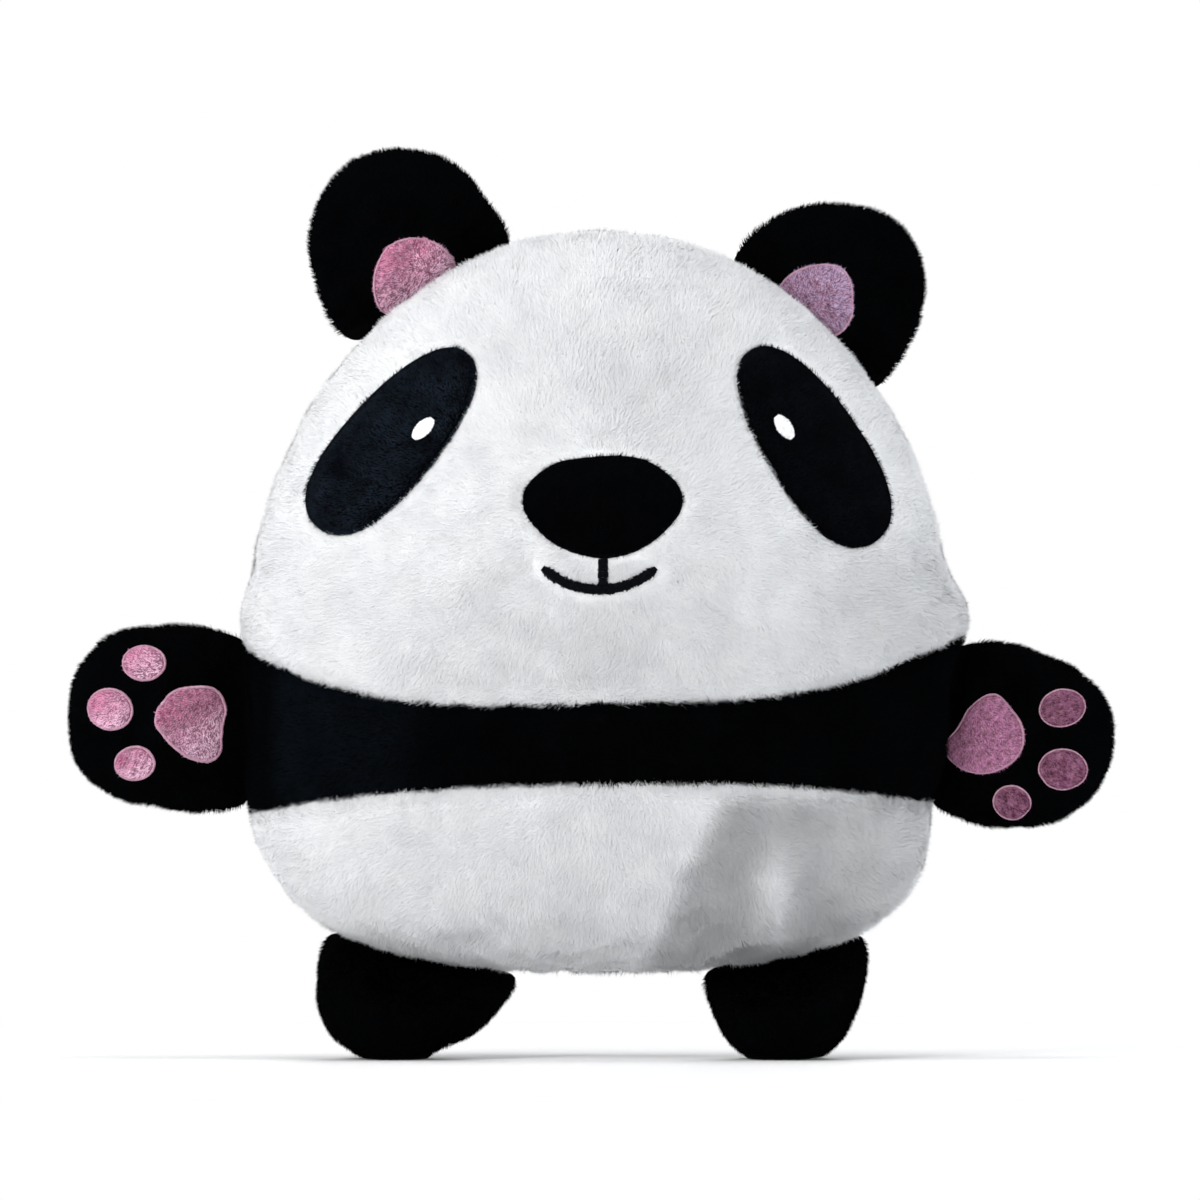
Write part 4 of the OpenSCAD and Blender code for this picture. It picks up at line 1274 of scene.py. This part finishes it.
# mm added to the radii of each outline, measured against the photo
EAR_TRIM = np.array([
    [0.6, 0.4, 1.0, 1.6, 3.2, 3, 1, 4, 5.5, 1.0, 0.8, 0.2],
    [1.4, 0.4, 1.0, 1.2, 3, 0, 0, 0, 4, 1.2, 1.4, 1.4],
])
ARM_TRIM = np.array([
    [0, 2.4, 3.6, 0.8, 1, -1, 0, 1, 2.2, -0.4, -0.8, 0.8],
    [-1, 0, -1.2, -1.8, 1, 0, 0, 0, 3.4, 2.2, 0, -1.2],
])
FOOT_TRIM = np.array([
    [0.5, -1.4, 1.0, 0.6, 0, 0, 0, 0, 0, 1.4, -1.8, -0.5],
    [0.5, -2.2, -1.6, 0.4, 2, 0, 0, 0, 3.5, 0.2, -1.2, 0],
])
LIMB_LOOK = dict(per_mm2=3.0, length=3.2, width=0.45, lean=44)

for s, word in ((LEFT, "left"), (RIGHT, "right")):
    radii = EAR_RADII[s] + EAR_TRIM[s]
    ear = Limb(f"ear_{word}", s, EAR_MIDDLE[s], radii, half=9.0, profile=2.2, taper=17, tab=9.0)
    ear.simulate()
    patch = round_shape(EAR_PATCH_CENTRE[s], EAR_PATCH_RADII[s])
    limb_panels(ear, (f"ear_front_panel_{word}", f"ear_back_panel_{word}"), 200 + 10 * s, [patch])
    # the right ear's pad has the darker, cooler copy of the pink and painted shade all over; the left one is
    # painted paler towards the lower right
    limb_pad(ear, f"ear_inner_{word}", f"ear_inner_patch_{word}", patch, EAR_PATCH_CENTRE[s], 240 + s,
             (PINK_FUR, PINK_FUR_PAINTED_COOL_SHADE)[s], (None, 0.5)[s])
    edge = limb_edge(ear, f"ear_inner_{word}_edge", patch, EAR_PATCH_CENTRE[s], 1.0, 0.3)
    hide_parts(f"ear_patch_stitching_{word}")
    limb_stuffing(ear, f"ear_stuffing_{word}")

    radii = ARM_RADII * (1.013, 0.987)[s] + ARM_TRIM[s]
    arm = Limb(f"arm_{word}", s, ((33.5, 31.5)[s], 0), radii, half=15.0, profile=2.2, taper=36, tab=7.0)
    arm.simulate()
    outlines = [(round_shape(PALM_CENTRE[s], PALM_RADII[s]), PALM_CENTRE[s])]
    outlines += [(oval(c, length, width, tilt, 2), np.array(c)) for c, length, width, tilt in TOES[s]]
    limb_panels(
        arm, (f"arm_palm_panel_{word}", f"arm_back_panel_{word}"), 300 + 10 * s, [o for o, c in outlines]
    )
    nodes = [f"palm_pad_{word}"] + [f"toe_pad_{i}_{word}" for i in (1, 2, 3)]
    for i, ((outline, c), node) in enumerate(zip(outlines, nodes)):
        # painted light and shade on the pads: the left arm's paler towards the lower right, the right arm's palm
        # darker and its toe pads darkest
        painted_lightness = None if s == LEFT else -0.15 if i else 0.75
        limb_pad(arm, node + "_patch", node, outline, c, 340 + 10 * s + i, (PINK_FUR, PINK_FUR_PAINTED_SHADE)[s], painted_lightness)
        edge = limb_edge(arm, node + "_edge", outline, c, (1.5 if i == 0 else 1.2) if s == LEFT else 0.8)
        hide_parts(f"pad_stitching_{word}")
    limb_stuffing(arm, f"arm_stuffing_{word}")

    radii = FOOT_RADII[s] + FOOT_TRIM[s]
    foot = Limb(f"foot_{word}", s, FOOT_MIDDLE[s], radii, half=34.0, profile=2.6, taper=26, tab=6.0, floor=1.2)
    foot.simulate()
    limb_panels(foot, (f"foot_front_panel_{word}", f"foot_back_panel_{word}"), 400 + 10 * s)
    limb_stuffing(foot, f"foot_stuffing_{word}")

    lo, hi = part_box(f"foot_sole_{word}")
    half = np.array([(hi.x - lo.x) * 0.43, (hi.y - lo.y) * 0.46]) / MM
    mid = np.array([(hi.x + lo.x) / 2, (hi.y + lo.y) / 2]) / MM
    t = np.linspace(0, 2 * np.pi, 96, endpoint=False)
    rim = np.stack([half[0] * power(np.cos(t), 0.85), half[1] * power(np.sin(t), 0.85)], 1)
    share = np.array([1.06, 1.05, 1.03, 1.0, 0.93, 0.8, 0.6, 0.4, 0.2, 0.01])
    height = np.array([3.4, 2.8, 2.0, 1.0, 0.05, 0, 0, 0, 0, 0])
    height = np.broadcast_to(height[:, None, None], (10, 96, 1))
    p = np.concatenate([mid + share[:, None, None] * rim, height], -1)
    p = np.concatenate([p, p[:1]])
    quads = grid_quads(11, 96, True)[:, ::-1]
    obj = mesh_object(f"foot_sole_{word}_cloth", p.reshape(-1, 3), quads, BLACK_CLOTH)
    stand_for(obj, f"foot_sole_{word}", f"foot_{word}")

# ---------------------------------------------------------------- stuffing and closing stitches of the body

angle = 2 * np.pi * np.arange(96)[None] / 96 * np.ones((60, 1))
arc = ARC * np.linspace(0.01, 0.99, 60)[:, None] * np.ones((1, 96))
p = stuffed_body(angle, arc)
centre = np.array([0, 0, (CROWN_Z + BELLY_Z) / 2])
p = centre + (p - centre) * np.array([0.955, 0.83, 0.955])
cap_low = p[:1].mean(1, keepdims=True) * np.ones((1, 96, 1))
cap_high = p[-1:].mean(1, keepdims=True) * np.ones((1, 96, 1))
p = np.concatenate([cap_low, p, cap_high])
obj = mesh_object("body_fill", p.reshape(-1, 3), grid_quads(62, 96, True), FIBRE)
bake_layer(obj)
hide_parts("body_stuffing")
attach(obj, "body")

# hand stitches over the seam below the band, from one side of it to the other and back under the cloth
bp, bn = SURFACE["band", BACK]
lo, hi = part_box("closing_stitches")
row_p, row_n = bp[0], bn[0]
order = np.argsort(row_p[:, 0])
cross = np.arange(lo.x / MM, hi.x / MM, 5.0)
at, up = (trace(cross, row_p[order, 0], values[order]) for values in (row_p, row_n))
steps = [  # across and up the cloth, and out of it, in mm
    ((0, 3.0), 0.4), ((0.5, 2.2), 2.6), ((1.2, 0), 3.2), ((1.9, -2.2), 2.6), ((2.4, -3.0), 0.4), ((3.6, 0), -2.0),
]
path = np.stack([at + [dx, 0, dz] + up * lift for (dx, dz), lift in steps], 1).reshape(-1, 3)
up = np.repeat(up, len(steps), axis=0)
obj = satin("closing_stitch_threads", path, up, 1.1, WHITE_THREAD, pitch=0.4, rise=0.5, slant=0.6)
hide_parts("closing_stitches")

# ---------------------------------------------------------------- floor

t = np.linspace(0, 2 * np.pi, 96, endpoint=False)
ringp = np.stack([np.cos(t), np.sin(t), 0 * t], 1)
disc = np.concatenate([ringp * r for r in (30000, 3000, 900, 0.01)])
floor = mesh_object("floor", disc, grid_quads(4, 96, True), floor_material)
floor.location.z = -0.0004
floor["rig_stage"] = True

lo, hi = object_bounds()
